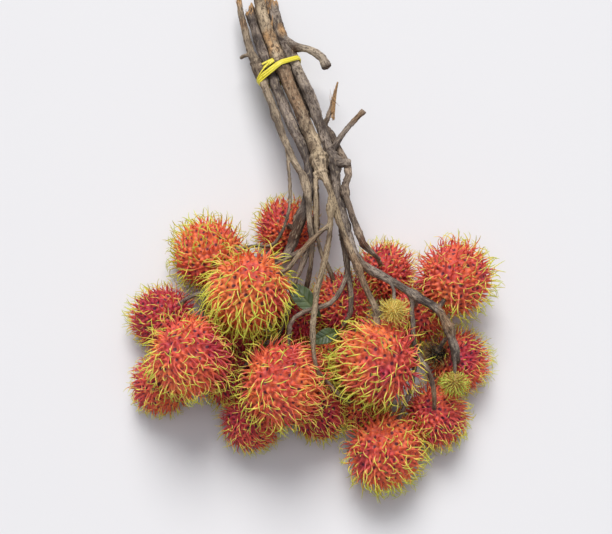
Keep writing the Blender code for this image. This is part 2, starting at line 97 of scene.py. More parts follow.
bpy.ops.object.select_all(action="DESELECT")
bpy.ops.object.camera_add()
camera = bpy.context.object
camera.name = "camera"
camera.data.sensor_width = SENSOR
camera.data.lens = SENSOR * VIEW_DISTANCE / VIEW_WIDTH
camera.data.clip_start = NEAREST_SEEN
look_from = Vector((0, -math.cos(VIEW_HEIGHT), math.sin(VIEW_HEIGHT)))
point_at(camera, VIEW_MIDDLE + look_from * VIEW_DISTANCE, VIEW_MIDDLE)
bpy.context.scene.camera = camera
print("camera", tuple(round(v, 3) for v in camera.location), "lens", round(camera.data.lens, 1))

# %% Lamps and world
SUN_SPREAD = math.radians(32)  # a wide source, so its shadows have soft edges
OVERHEAD_WIDTH = 0.9
WORLD_COLOUR = (0.93, 0.94, 1.0, 1)
WORLD_STRENGTH = 0.30


def add_lamp(name, kind, energy, colour, place, towards):
    """Adds a lamp at a place, turned towards a point, and returns its settings."""
    bpy.ops.object.light_add(type=kind)
    lamp = bpy.context.object
    lamp.name = name
    lamp.data.energy = energy
    lamp.data.color = colour
    point_at(lamp, place, towards)
    return lamp.data


sun = add_lamp("lamp_behind_stems", "SUN", 3.0, (1.0, 0.985, 0.965), (-0.03, 0.75, 0.9), (0, 0, 0))
sun.angle = SUN_SPREAD
overhead = add_lamp("lamp_overhead", "AREA", 4.0, (0.98, 0.985, 1.0), (0.05, -0.15, 1.5), (0, -0.03, 0))
overhead.size = OVERHEAD_WIDTH
world = bpy.data.worlds.new("light_tent")
world.use_nodes = True
background = world.node_tree.nodes["Background"]
background.inputs["Color"].default_value = WORLD_COLOUR
background.inputs["Strength"].default_value = WORLD_STRENGTH
bpy.context.scene.world = world
bpy.context.scene.view_settings.view_transform = "Standard"
print("lamps", sun.energy, "and", overhead.energy, "world", WORLD_STRENGTH)

# %% Table
TABLE_WIDTH = 6.0
TABLE_COLOUR = (0.72, 0.72, 0.74)


def new_material(name, colour, roughness):
    """A material with one Principled shader, and its node tree."""
    made = bpy.data.materials.new(name)
    made.use_nodes = True
    made.diffuse_color = (*colour, 1)
    shader = made.node_tree.nodes["Principled BSDF"]
    shader.inputs["Base Color"].default_value = (*colour, 1)
    shader.inputs["Roughness"].default_value = roughness
    return made, made.node_tree, shader


bpy.ops.object.select_all(action="DESELECT")
bpy.ops.mesh.primitive_plane_add(size=TABLE_WIDTH)
table = bpy.context.object
table.name = "table"
table.data.materials.append(new_material("pale_table", TABLE_COLOUR, 0.6)[0])
print("table", TABLE_WIDTH, "m wide")

# %% [markdown]
# ## Measuring the solids
# Every new surface has to sit where its solid sits, so the solids are measured first. A node arrives
# as loose triangles. Rounding its corners and keeping each only once welds them into a closed skin.

# %% Weld a node's triangles
BODY = "root"


def node_mesh(node):
    """A node's corners in millimetres, each only once, and its triangles."""
    mesh = nodes[node].data
    mesh.calc_loop_triangles()
    corners = np.empty(len(mesh.vertices) * 3)
    mesh.vertices.foreach_get("co", corners)
    faces = np.empty(len(mesh.loop_triangles) * 3, np.int32)
    mesh.loop_triangles.foreach_get("vertices", faces)
    corners, index = np.unique(np.round(corners.reshape(-1, 3) / MM, 3), axis=0, return_inverse=True)
    return corners, index.reshape(-1)[faces].reshape(-1, 3)


def unit(vectors):
    """The vectors at length 1."""
    return vectors / np.maximum(np.linalg.norm(vectors, axis=-1, keepdims=True), 1e-9)


BRANCHES = sorted(name for name in nodes if name.startswith("branch"))
wood_corners, wood_faces, count = [], [], 0
for branch in BRANCHES:
    corners, faces = node_mesh(branch)
    wood_corners.append(corners)
    wood_faces.append(faces + count)
    count += len(corners)
wood_corners, wood_faces = np.concatenate(wood_corners), np.concatenate(wood_faces)
wood_tree = BVHTree.FromPolygons(wood_corners.tolist(), wood_faces.tolist())
print(len(BRANCHES), "branches,", len(wood_faces), "triangles of wood")

# %% [markdown]
# ## Finding each fruit's egg shape
# A rambutan's body is an egg, a little longer along its stalk. In the solid, the spines' tips are the
# only corners where three faces meet, so all the others lie on the egg, apart from a few that are
# pressed flat against a neighbour. A least-squares fit that drops the worst corners at each round
# finds the egg's centre, its half widths and its long axis. The end near the wood is the stalk's.

# %% Fit the fruits
TOLERANCES = (3.0, 2.0, 1.2, 0.8, 0.5, 0.3, 0.15, 0.08, 0.05)  # mm off the egg, one for each round
TIP_FACES = 3  # a spine's tip is where this many faces meet


def fit_egg(points):
    """Centre, half widths and axes, as columns, of the egg that most of the points lie on, in mm."""
    middle = (points.max(0) + points.min(0)) / 2
    offset = points - middle
    size = np.abs(offset).max()
    keep = np.ones(len(points), bool)
    for tolerance in TOLERANCES:
        x, y, z = offset.T / size
        terms = np.stack([x * x, y * y, z * z, 2 * y * z, 2 * x * z, 2 * x * y, 2 * x, 2 * y, 2 * z], 1)
        a = np.linalg.lstsq(terms[keep], np.ones(keep.sum()), rcond=None)[0]
        form = np.array([[a[0], a[5], a[4]], [a[5], a[1], a[3]], [a[4], a[3], a[2]]])
        centre = -np.linalg.solve(form, a[6:])
        form /= 1 + centre @ form @ centre
        values, axes = np.linalg.eigh(form)
        from_centre = offset / size - centre
        outside = np.sqrt(np.maximum((from_centre @ form * from_centre).sum(1), 0)) - 1
        keep = np.abs(outside) * size < tolerance
    return middle + centre * size, size / np.sqrt(values), axes


FRUITS = {}
for name in sorted(n for n in nodes if "fruit" in n):
    corners, faces = node_mesh(name)
    meeting = np.bincount(faces.ravel(), minlength=len(corners))
    centre, widths, axes = fit_egg(corners[meeting > TIP_FACES])
    ends = [centre + axes[:, 0] * widths[0] * sign for sign in (1, -1)]
    gaps = [wood_tree.find_nearest(Vector(end))[3] for end in ends]
    stalk = unit(ends[int(np.argmin(gaps))] - centre)
    radius = (widths[1] + widths[2]) / 2
    FRUITS[name] = {"centre": centre, "radius": radius, "stretch": widths[0] / radius, "stalk": stalk}
    print(name, np.round(centre, 1), "radius", round(radius, 2), "stretch", round(widths[0] / radius, 3),
          "stalk gap", round(min(gaps), 2))

# %% [markdown]
# ## One blank for all the fruits
# The spines of a rambutan aren't stuck on: the rind swells up to a small hill and runs out into each
# one. So the spines are extruded from the body itself. A ball gets some 360 spots, none too near the
# next, and the ring of faces round each spot is extruded eight times at once. Each extrusion is
# scaled up from the ball's middle, which leaves straight pegs of six sides. This blank is modelled
# once. Every fruit is a copy of it, with its own hills, bends and lengths.

# %% Extrude pegs from a ball
PEG_SEGMENTS = 8
PEG_GROWTH = 1.05  # how much wider the ball is at each extrusion


def coordinates(mesh):
    """All the mesh's corners as an array."""
    points = np.empty(len(mesh.vertices) * 3)
    mesh.vertices.foreach_get("co", points)
    return points.reshape(-1, 3)


def pick_spots(directions, spacing):
    """Corners of a ball in an order drawn at random, leaving out those too near an earlier one."""
    spots, free = [], np.ones(len(directions), bool)
    for spot in draw.permutation(len(directions)):
        if free[spot]:
            spots.append(spot)
            free[directions @ directions[spot] > math.cos(spacing)] = False
    return np.array(spots)


def extrude_pegs(ball, spots):
    """Extrudes the faces round each spot into a straight peg, one ring after the other."""
    is_spot = np.zeros(len(ball.data.vertices), bool)
    is_spot[spots] = True
    sides = np.array([face.vertices for face in ball.data.polygons])
    ball.data.vertices.foreach_set("select", np.zeros(len(is_spot), bool))
    ball.data.edges.foreach_set("select", np.zeros(len(ball.data.edges), bool))
    ball.data.polygons.foreach_set("select", is_spot[sides].any(1))
    bpy.ops.object.mode_set(mode="EDIT")
    bpy.ops.mesh.select_mode(type="FACE")
    for _ in range(PEG_SEGMENTS):
        bpy.ops.mesh.extrude_region()
        bpy.ops.transform.resize(value=(PEG_GROWTH,) * 3, center_override=(0, 0, 0))
    bpy.ops.object.mode_set(mode="OBJECT")
    bpy.ops.object.shade_smooth()


print(PEG_SEGMENTS, "extrusions make a peg", round(PEG_GROWTH**PEG_SEGMENTS - 1, 2), "of the radius long")

# %% [markdown]
# ## What each corner of the blank is
# A fruit's corners are moved by what they are: which spine a corner belongs to, which ring of it, how
# far it is from the nearest two spines, and so whether it is on a hill or in a groove. That is worked
# out once for each blank, in angles on the ball. Dark specks are scattered between the spines too.

# %% Model the blanks
SPECK_SPACING = 0.21  # radians between two specks
SPECK_SIZES = (0.42, 1.18)  # smallest and largest half width, in mm
SPECK_PLACE = 0.72  # a speck's nearest spine is at least this share as far as the next one
SKIN_HEIGHT = 1.001  # a corner below this is on the ball and not on a peg
TIP_ANGLE = 0.003  # a corner nearer than this to a spot is in the middle of the peg's end


def two_nearest(facing, roots):
    """Which root is nearest to each direction, and the angles to it and to the next one."""
    nearness = np.clip(facing @ roots.T, -1, 1)
    order = np.argpartition(-nearness, 1, axis=1)[:, :2]
    angles = np.arccos(np.take_along_axis(nearness, order, 1))
    swap = angles[:, 0] > angles[:, 1]
    order[swap] = order[swap][:, ::-1]
    angles[swap] = angles[swap][:, ::-1]
    return order[:, 0], angles[:, 0], angles[:, 1]


def model_blank(name, level, spacing):
    """A ball with a straight peg on each spot, and what each of its corners is."""
    bpy.ops.object.select_all(action="DESELECT")
    bpy.ops.mesh.primitive_ico_sphere_add(subdivisions=level, radius=1)
    ball = bpy.context.object
    ball.name = name
    directions = unit(coordinates(ball.data))
    spots = pick_spots(directions, spacing)
    roots = directions[spots]
    extrude_pegs(ball, spots)
    ball.hide_render = True
    points = coordinates(ball.data)
    height = np.linalg.norm(points, axis=1)
    facing = points / height[:, None]
    own, near, beyond = two_nearest(facing, roots)
    between = np.flatnonzero((near > SPECK_PLACE * beyond) & (height < SKIN_HEIGHT))
    specks = facing[between[pick_spots(facing[between], SPECK_SPACING)]]
    reference = np.where(np.abs(roots[:, 2:]) < 0.9, [[0.0, 0.0, 1.0]], [[1.0, 0.0, 0.0]])
    across = unit(np.cross(roots, reference))
    beside = np.cross(roots, across)
    return {
        "ball": ball,
        "facing": facing,
        "roots": roots,
        "own": own,
        "near": near,
        "next": beyond,
        "ring": np.round(np.log(height) / math.log(PEG_GROWTH)).astype(int),
        "tip": near < TIP_ANGLE,
        "across": across,
        "turn": np.arctan2((facing * beside[own]).sum(1), (facing * across[own]).sum(1)),
        "speck_angles": np.arccos(np.clip(facing @ specks.T, -1, 1)),
        "speck_sizes": draw.uniform(*SPECK_SIZES, len(specks)),
    }


RIPE_BLANK = model_blank("ripe_blank", 6, 0.146)
UNRIPE_BLANK = model_blank("unripe_blank", 5, 0.205)
for blank in (RIPE_BLANK, UNRIPE_BLANK):
    print(blank["ball"].name, len(blank["roots"]), "spines,", len(blank["facing"]), "corners, rings",
          np.bincount(blank["ring"]))

# %% [markdown]
# ## How each fruit differs
# The fruits were picked at different ripeness and pressed against each other. On some the spines hang
# down, on others they are combed to one side or stand out all round. Blush runs from crimson to
# orange, and greenness says how soon a spine turns from red to yellow and lime on its way out. A side
# that hung in the shade is greener than the side in the sun, so each fruit also has a direction
# towards which its spines turn sooner.

# %% Looks of the fruits
LOOKS = {  # combed towards x, y, z; length; curl; blush; greenness
    "fruit_01": ((-0.10, -0.60, 0.0), 1.12, 0.9, 0.76, 0.84),
    "fruit_02": ((-0.10, 0.35, 0.2), 1.00, 1.0, 0.52, 0.74),
    "fruit_03": ((0.00, 0.30, 0.3), 1.00, 0.7, 0.66, 0.36),
    "fruit_04": ((-0.35, 0.15, 0.1), 0.95, 0.9, 0.28, 0.42),
    "fruit_05": ((0.45, -0.45, 0.0), 1.05, 1.0, 0.50, 0.50),
    "fruit_06": ((-0.20, -0.30, 0.0), 0.90, 1.3, 0.42, 0.35),
    "fruit_07": ((0.55, -0.10, 0.0), 1.05, 0.9, 0.66, 0.45),
    "fruit_08": ((0.60, -0.25, 0.0), 0.95, 1.0, 0.30, 0.38),
    "fruit_09": ((-0.65, -0.05, 0.0), 1.08, 1.0, 0.58, 0.60),
    "fruit_10": ((0.35, -0.20, 0.0), 1.00, 1.4, 0.66, 0.62),
    # fruit_11's blush below 0 turns it a deep, dark crimson: painted shade on a fruit that lies low in the
    # others' shadow
    "fruit_11": ((0.55, -0.35, 0.0), 1.00, 0.8, -0.15, 0.46),
    "fruit_12": ((0.10, 0.10, 0.2), 1.05, 0.8, 0.62, 0.54),
    "fruit_13": ((0.10, 0.40, 0.2), 0.95, 0.9, 0.20, 0.34),
    "fruit_14": ((0.40, 0.10, 0.1), 1.05, 1.1, 0.44, 0.45),
    "fruit_15": ((0.25, -0.35, 0.0), 1.00, 1.0, 0.50, 0.42),
    "fruit_16": ((0.00, -0.30, 0.2), 0.90, 1.0, 0.40, 0.40),
    "fruit_17": ((-0.30, 0.20, 0.3), 0.95, 1.0, 0.20, 0.55),
    "fruit_18": ((-0.20, 0.30, 0.3), 0.95, 1.0, 0.30, 0.45),
    "fruit_19": ((0.10, -0.30, 0.2), 0.95, 1.0, 0.30, 0.45),
    "fruit_20": ((-0.20, 0.00, 0.2), 0.95, 1.0, 0.30, 0.45),
    "fruit_21": ((0.30, -0.30, 0.1), 1.05, 1.0, 0.30, 0.50),
    "fruit_22": ((0.10, -0.20, 0.2), 1.05, 1.0, 0.25, 0.50),
}
GREENER_TOWARDS = {  # the side that hung in shade or lay low
    "fruit_01": (-0.5, -0.9, -0.5),
    "fruit_02": (-0.7, -0.2, -0.5),
    "fruit_03": (-0.7, 0.6, -0.6),
    "fruit_04": (-0.9, 0.3, -0.4),
    "fruit_05": (-1.0, -0.3, -0.4),
    "fruit_07": (-0.7, -0.2, -0.3),
    "fruit_09": (-0.8, -0.6, -0.4),
    "fruit_10": (0.6, -0.9, -0.6),
    "fruit_12": (0.9, -0.7, -0.6),
    "fruit_13": (-0.3, 0.9, -0.6),
    "fruit_14": (0.9, 0.4, -0.6),
    "fruit_15": (0.7, -0.7, -0.4),
}
GREENER_ELSEWHERE = (0.0, -0.6, -0.5)
GREEN_OFFSET = 0.08  # how much greener all the spines are than the looks say
GREEN_SWING = 0.26  # and how much greener again straight towards that side
print(len(LOOKS), "looks,", len(GREENER_TOWARDS), "of them with a green side of their own")

# %% Sizes of hills and spines
SPINE_LENGTH = 11.9  # along its curve, on a fruit of 20 mm radius
FULL_RADIUS = 20.0
HILL = 1.3  # height of the rind's hill under a spine
HILL_WIDTH = 0.75  # how soon it falls away
GROOVE = 0.35  # depth of the groove between two hills
STATIONS = np.array([0.0, 0.05, 0.15, 0.30, 0.46, 0.61, 0.75, 0.88, 1.0])  # its rings, along a spine
THICKNESS = np.array([0.72, 0.70, 0.63, 0.51, 0.41, 0.345, 0.285, 0.215, 0.11])  # half widths there
print("a spine is", round(SPINE_LENGTH / THICKNESS[0] / 2, 1), "times as long as it is wide")

# %% [markdown]
# ## Keeping soft spines out of things
# A spine must not run through the table, the neighbours or the wood, so there are helpers that push
# points out of each. Where two bodies press together, the rind goes flat along the plane that parts
# them.

# %% Push points out
TABLE_GAP = 0.1  # between the rind and the table, in mm
WOOD_GAP = 0.9
WOOD_DEPTH = 3.0  # how much deeper than that a point in the wood is still found
PRESSED_GAP = 0.3  # on each side of the plane where two rinds press together
SPINES_MEET = 24  # no spines meet between bodies that are this far apart


def neighbours(name):
    """The other fruits that are near enough to touch this one's spines."""
    fruit, found = FRUITS[name], []
    for other_name, other in FRUITS.items():
        reach = fruit["radius"] + other["radius"] + SPINES_MEET
        if other_name != name and np.linalg.norm(other["centre"] - fruit["centre"]) < reach:
            found.append(other)
    return found


def egg_distance(points, fruit):
    """How far out the points are, where 1 is on the fruit's egg."""
    offset = points - fruit["centre"]
    along = (offset @ fruit["stalk"])[:, None] * fruit["stalk"]
    return np.linalg.norm(offset - along + along / fruit["stretch"], axis=1) / fruit["radius"]


def push_out(points, fruit, margin):
    """Moves points that are inside a fruit, or within the margin of it, straight out from its centre."""
    short = np.clip(1 + margin / fruit["radius"] - egg_distance(points, fruit), 0, None)
    return points + unit(points - fruit["centre"]) * short[:, None] * fruit["radius"]


def push_out_of_wood(points):
    """Moves points that are in the wood, or too near it, out through its nearest face."""
    for i, point in enumerate(points):
        place, normal, _, far = wood_tree.find_nearest(Vector(point), WOOD_GAP + WOOD_DEPTH)
        if place is None:
            continue
        outside = (Vector(point) - place).dot(normal) >= 0
        if not outside or far < WOOD_GAP:
            points[i] = place + normal * WOOD_GAP
    return points


def flattened(points, fruit, others):
    """The points drawn back to the planes that part the fruit from its neighbours and the table."""
    for other in others:
        between = other["centre"] - fruit["centre"]
        distance = np.linalg.norm(between)
        share = (distance**2 + fruit["radius"] ** 2 - other["radius"] ** 2) / (2 * distance) - PRESSED_GAP
        over = np.clip((points - fruit["centre"]) @ (between / distance) - share, 0, None)
        points = points - over[:, None] * between / distance
    points[:, 2] = np.maximum(points[:, 2], TABLE_GAP)
    return points


print("neighbours", {name: len(neighbours(name)) for name in FRUITS})

# %% [markdown]
# ## The way of a spine
# A spine starts along the rind's normal, leans the way the fruit is combed and hooks over near its
# tip. Most hooks are slight and a few curl right over, so their strengths are drawn from a gamma
# spread. The spine is followed ring by ring, and at each ring it is pushed out of whatever is there,
# so it lies round its neighbours as a soft spine does.

# %% Follow the spines
COMB_SPREAD = 0.30  # how differently the spines of one fruit are combed
FIRST_LEAN = 0.75  # how far a spine leans the way it is combed, at its root
LATER_BEND = 0.12  # how much farther it bends that way for each mm
HOOK_SHAPE, HOOK_SCALE = 1.5, 0.36  # of the gamma spread
HOOK_START, HOOK_RUN = 0.45, 0.4  # where along the spine the hook starts, and how soon it is full
KINK = 0.45  # how sharply each spine is bent at one of its rings
NEIGHBOUR_GAP = 1.5  # between a spine's middle and another fruit's body, in mm
SPINE_LIFT = 0.5  # between a spine's middle and the table
GAP_AT_ROOT, GAP_GROWTH, GAP_AT_TIP = 0.8, 0.4, 1.9  # between a spine's middle and its own fruit


def spine_paths(fruit, others, roots, normals, comb, curl, length):
    """The rings' middles and headings of every spine: arrays of ring by spine by x, y, z."""
    count = len(roots)
    combed = np.array(comb) + draw.normal(0, COMB_SPREAD, (count, 3))
    sideways = combed - (combed * normals).sum(1)[:, None] * normals
    hook = np.cross(normals, unit(draw.normal(0, 1, (count, 3))))
    hooked = draw.gamma(HOOK_SHAPE, HOOK_SCALE, count) * curl
    kinked = draw.integers(2, PEG_SEGMENTS, count)
    kink = draw.normal(0, KINK, (count, 3))
    heading = unit(normals + sideways * FIRST_LEAN)
    middles, headings = [roots], [heading]
    for ring in range(1, PEG_SEGMENTS + 1):
        step = (length * (STATIONS[ring] - STATIONS[ring - 1]))[:, None]
        tip_share = np.clip((STATIONS[ring] - HOOK_START) / HOOK_RUN, 0, 1)
        bend = sideways * LATER_BEND + hook * (hooked * tip_share)[:, None]
        heading = unit(heading + bend * step + kink * (kinked == ring)[:, None])
        place = middles[-1] + heading * step
        if ring > 1:
            for other in others:
                place = push_out(place, other, NEIGHBOUR_GAP)
            place = push_out(place, fruit, min(GAP_AT_ROOT + GAP_GROWTH * ring, GAP_AT_TIP))
            place = push_out_of_wood(place)
            place[:, 2] = np.maximum(place[:, 2], SPINE_LIFT)
            heading = unit(place - middles[-1])
        middles.append(place)
        headings.append(heading)
    return np.array(middles), np.array(headings)


print("a comb of 1 leans a spine", round(math.degrees(math.atan(FIRST_LEAN))), "degrees at its root")

# %% [markdown]
# ## The rind between the spines
# The skin rises to a hill under each spine and sinks to a groove half way to the next, on a body that
# is a little lumpy. Round the stalk it is drawn up to a dry collar with hardly any spines. The corners
# of a peg's rings are laid round the middles that the spine's path gave, at right angles to it, and
# flatter one way than the other, because real spines are strap-like.

# %% Shape the rind and the spines
LUMP_SCALE, LUMP_HEIGHT = 0.16, 0.4
COLLAR_RISE = 0.9
COLLAR_WIDTH, COLLAR_FRINGE = 3.2, 0.6  # its width grows with the fruit, apart from the fringe
FLATNESS = 0.72  # a spine's thickness as a share of its width
POINT_LENGTH = 1.5  # of its point, as a share of its width at the end


def on_egg(directions, fruit):
    """Places and normals on the fruit's egg in these directions."""
    along = (directions @ fruit["stalk"])[:, None] * fruit["stalk"]
    place = fruit["centre"] + fruit["radius"] * (directions + along * (fruit["stretch"] - 1))
    return place, unit(directions - along + along / fruit["stretch"])


def from_stalk(directions, fruit):
    """How far round the fruit these directions are from its stalk, in mm."""
    return np.arccos(np.clip(directions @ fruit["stalk"], -1, 1)) * fruit["radius"]


def shape_skin(blank, facing, fruit, others, size, hill):
    """The skin's places, and how deep in a groove and how far up the collar each of them is."""
    near = blank["near"] * fruit["radius"]
    groove = 2 * near / (near + blank["next"] * fruit["radius"])
    groove = np.where(blank["ring"] > 0, 0, groove)
    skin, normals = on_egg(facing, fruit)
    lumps = np.array([noise.noise(Vector(p) * LUMP_SCALE) for p in skin])
    slope = np.exp(-np.maximum(near / size - THICKNESS[0], 0) / HILL_WIDTH)
    rise = hill * slope - GROOVE * size * np.clip(groove * 3 - 2, 0, 1) + LUMP_HEIGHT * size * lumps
    collar = np.clip(1 - from_stalk(facing, fruit) / (COLLAR_WIDTH * size + COLLAR_FRINGE), 0, 1)
    rise += COLLAR_RISE * np.minimum(collar * 2.5, 1)
    return flattened(skin + normals * rise[:, None], fruit, others), groove, collar


def shape_spines(blank, spin, middles, headings, half, point):
    """The places of the pegs' corners, from each corner's half width and the length of a point."""
    ring, own, tip = blank["ring"], blank["own"], blank["tip"]
    ahead = headings[ring, own]
    across = (blank["across"] @ spin.T)[own]
    across = unit(across - (across * ahead).sum(1)[:, None] * ahead)
    beside = np.cross(ahead, across)
    round_ring = (np.cos(blank["turn"])[:, None] * across
                  + FLATNESS * np.sin(blank["turn"])[:, None] * beside)
    pegs = middles[ring, own] + np.where(tip, 0, half)[:, None] * round_ring
    return pegs + np.where(tip, point, 0)[:, None] * ahead


print("collar of the largest fruit", COLLAR_WIDTH + COLLAR_FRINGE, "mm wide")

# %% [markdown]
# ## One fruit
# A fruit is a copy of the blank, turned at random so that no two are alike, with its corners moved to
# the places worked out above. Two attributes go with them for the finish to read: what each corner is,
# and how ripe it is there.

# %% Grow one fruit
LENGTH_SPREAD, LENGTH_RANGE = 0.13, (0.55, 1.3)
WIDTH_SPREAD, WIDTH_RANGE = 0.1, (0.75, 1.3)
BARE_ROUND_STALK, SHORT_ROUND_STALK = 2.5, 3  # mm with hardly any spines, and then with short ones
STUB = 0.08  # length of a spine right at the stalk, as a share
NO_SPECK = 5.0  # mm from a speck's edge, as a spine's corners count
SPECK_ZERO = 5.0  # added to that distance, so that the stored number is above 0


def paint_points(mesh, name, columns):
    """Gives each corner up to four numbers, as a colour attribute that a material can read."""
    colours = np.ones((len(mesh.vertices), 4))
    for place, column in enumerate(columns):
        colours[:, place] = column
    mesh.attributes.new(name, "FLOAT_COLOR", "POINT").data.foreach_set("color", colours.ravel())


def settle(piece, points, finish):
    """Moves a piece's corners to these points, in mm, and gives it its finish."""
    piece.data.vertices.foreach_set("co", (points * MM).ravel())
    piece.data.materials.clear()
    piece.data.materials.append(finish)
    piece.data.update()


def grow_fruit(name, blank, look, finish, hill, spine_length, thickness):
    """One fruit as a copy of a blank, with its hills, grooves and bent spines."""
    comb, longer, curl, blush, greenness = look
    fruit, others = FRUITS[name], neighbours(name)
    size = fruit["radius"] / FULL_RADIUS if blank is RIPE_BLANK else 1.0
    ring, own = blank["ring"], blank["own"]
    spin = np.linalg.qr(draw.normal(0, 1, (3, 3)))[0]
    spin *= np.sign(np.linalg.det(spin))
    roots = blank["roots"] @ spin.T
    skin, groove, collar = shape_skin(blank, blank["facing"] @ spin.T, fruit, others, size, hill)

    start, normals = on_egg(roots, fruit)
    start = flattened(start + normals * hill, fruit, others)
    length = spine_length * size * longer * draw.normal(1, LENGTH_SPREAD, len(roots)).clip(*LENGTH_RANGE)
    length *= np.clip((from_stalk(roots, fruit) - BARE_ROUND_STALK * size) / SHORT_ROUND_STALK, STUB, 1)
    middles, headings = spine_paths(fruit, others, start, normals, comb, curl, length)
    wider = draw.normal(1, WIDTH_SPREAD, len(roots)).clip(*WIDTH_RANGE)
    half = thickness[ring] * size * wider[own]
    pegs = shape_spines(blank, spin, middles, headings, half, thickness[-1] * POINT_LENGTH)
    points = np.where((ring > 0)[:, None], pegs, skin)
    points[:, 2] = np.maximum(points[:, 2], TABLE_GAP)

    shape = blank["ball"].copy()
    shape.data = blank["ball"].data.copy()
    shape.name = shape.data.name = name.replace("fruit", "rambutan")
    shape.hide_render = False
    bpy.context.collection.objects.link(shape)
    settle(shape, points, finish)
    tint = draw.random(len(roots))
    speck = (blank["speck_angles"] * fruit["radius"] - blank["speck_sizes"]).min(1)
    speck = np.where(ring > 0, NO_SPECK, speck) + SPECK_ZERO
    run = np.where(ring > 0, STATIONS[ring], 0)
    paint_points(shape.data, "rind_marks", (run, groove, tint[own], speck))
    towards = np.array(GREENER_TOWARDS.get(name, GREENER_ELSEWHERE))
    greener = greenness + GREEN_OFFSET + GREEN_SWING * (roots @ towards)[own]
    paint_points(shape.data, "ripeness", (blush, greener, collar))
    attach(shape, BODY)
    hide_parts(name)
    return shape


print("spines vary by", LENGTH_SPREAD, "in length and", WIDTH_SPREAD, "in width")

# %% [markdown]
# ## Small helpers for materials
# A material is a tree of nodes. Adding and linking nodes in code is repetitive, so each kind that is
# used often gets a helper that takes sockets or numbers and gives back the new node's output.

# %% Node helpers
def math_node(tree, operation, first, second, clamp=False):
    """A Math node's output, whose inputs are sockets or numbers."""
    made = tree.nodes.new("ShaderNodeMath")
    made.operation = operation
    made.use_clamp = clamp
    for socket, value in zip(made.inputs, (first, second)):
        if isinstance(value, (int, float)):
            socket.default_value = value
        else:
            tree.links.new(value, socket)
    return made.outputs[0]


def swing_node(tree, value, middle, strength):
    """How far a value is above its middle, times a strength."""
    return math_node(tree, "MULTIPLY", math_node(tree, "SUBTRACT", value, middle), strength)


def mix_node(tree, factor, first, second):
    """A colour Mix node's output, whose colours are sockets or red, green and blue."""
    made = tree.nodes.new("ShaderNodeMix")
    made.data_type = "RGBA"
    for socket, value in ((made.inputs[0], factor), (made.inputs[6], first), (made.inputs[7], second)):
        if isinstance(value, tuple):
            socket.default_value = (*value, 1)
        else:
            tree.links.new(value, socket)
    return made.outputs[2]


def ramp_node(tree, factor, stops):
    """A Color Ramp's output, with stops of (place, colour)."""
    made = tree.nodes.new("ShaderNodeValToRGB")
    ramp = made.color_ramp
    while len(ramp.elements) < len(stops):
        ramp.elements.new(0.5)
    for element, (place, colour) in zip(ramp.elements, stops):
        element.position = place
        element.color = (*colour, 1)
    tree.links.new(factor, made.inputs[0])
    return made.outputs[0]


def range_node(tree, value, low, high, to_low=0.0, to_high=1.0):
    """A clamped Map Range's output."""
    made = tree.nodes.new("ShaderNodeMapRange")
    made.interpolation_type = "SMOOTHSTEP"
    tree.links.new(value, made.inputs[0])
    for socket, number in zip(made.inputs[1:5], (low, high, to_low, to_high)):
        socket.default_value = number
    return made.outputs[0]


def noise_node(tree, vector, scale, detail=3.0):
    """A Noise Texture's value."""
    made = tree.nodes.new("ShaderNodeTexNoise")
    made.inputs["Scale"].default_value = scale
    made.inputs["Detail"].default_value = detail
    tree.links.new(vector, made.inputs["Vector"])
    return made.outputs[0]


def attribute_node(tree, name):
    """An Attribute node's Color output, split into three values."""
    read = tree.nodes.new("ShaderNodeAttribute")
    read.attribute_name = name
    split = tree.nodes.new("ShaderNodeSeparateColor")
    tree.links.new(read.outputs["Color"], split.inputs[0])
    return [*split.outputs, read.outputs["Alpha"]]


def surface(tree, shader, colour, rough, specular, relief, strength, depth):
    """Connects a colour, a roughness and a relief, and sets how strongly the surface reflects."""
    tree.links.new(colour, shader.inputs["Base Color"])
    tree.links.new(rough, shader.inputs["Roughness"])
    shader.inputs["Specular IOR Level"].default_value = specular
    bump = tree.nodes.new("ShaderNodeBump")
    bump.inputs["Strength"].default_value = strength
    bump.inputs["Distance"].default_value = depth
    tree.links.new(relief, bump.inputs["Height"])
    tree.links.new(bump.outputs[0], shader.inputs["Normal"])


print("8 node helpers")

# %% [markdown]
# ## The rind's finish
# Seen close, the rind is orange on the hills, with small blue-black specks between the spines, and its
# grooves are painted a darker crimson as shade. A spine leaves the hill red, turns yellow about half way
# out and ends lime, and sooner on the fruit's green side. The two attributes of each fruit say where on a
# spine a corner is, how deep in a groove, how far from the nearest speck, and how ripe. Noise on Object
# coordinates breaks the colours up. A little light goes through the soft rind, so it gets some subsurface.

# %% Rind materials
BLUSH_SWINGS = (2.2, 1.3, 0.4, 0.25)  # by areas, patches, fine grain and each spine's own tint
SPECK_EDGE = (-0.32, 0.38)  # mm from a speck's edge, where it is full and where it ends
SPECK_COLOUR = (0.060, 0.016, 0.038)
COLLAR_COLOUR = (0.12, 0.07, 0.035)
DRY_TIP = (0.45, 0.30, 0.03)
MEAN_GREENNESS = 0.45


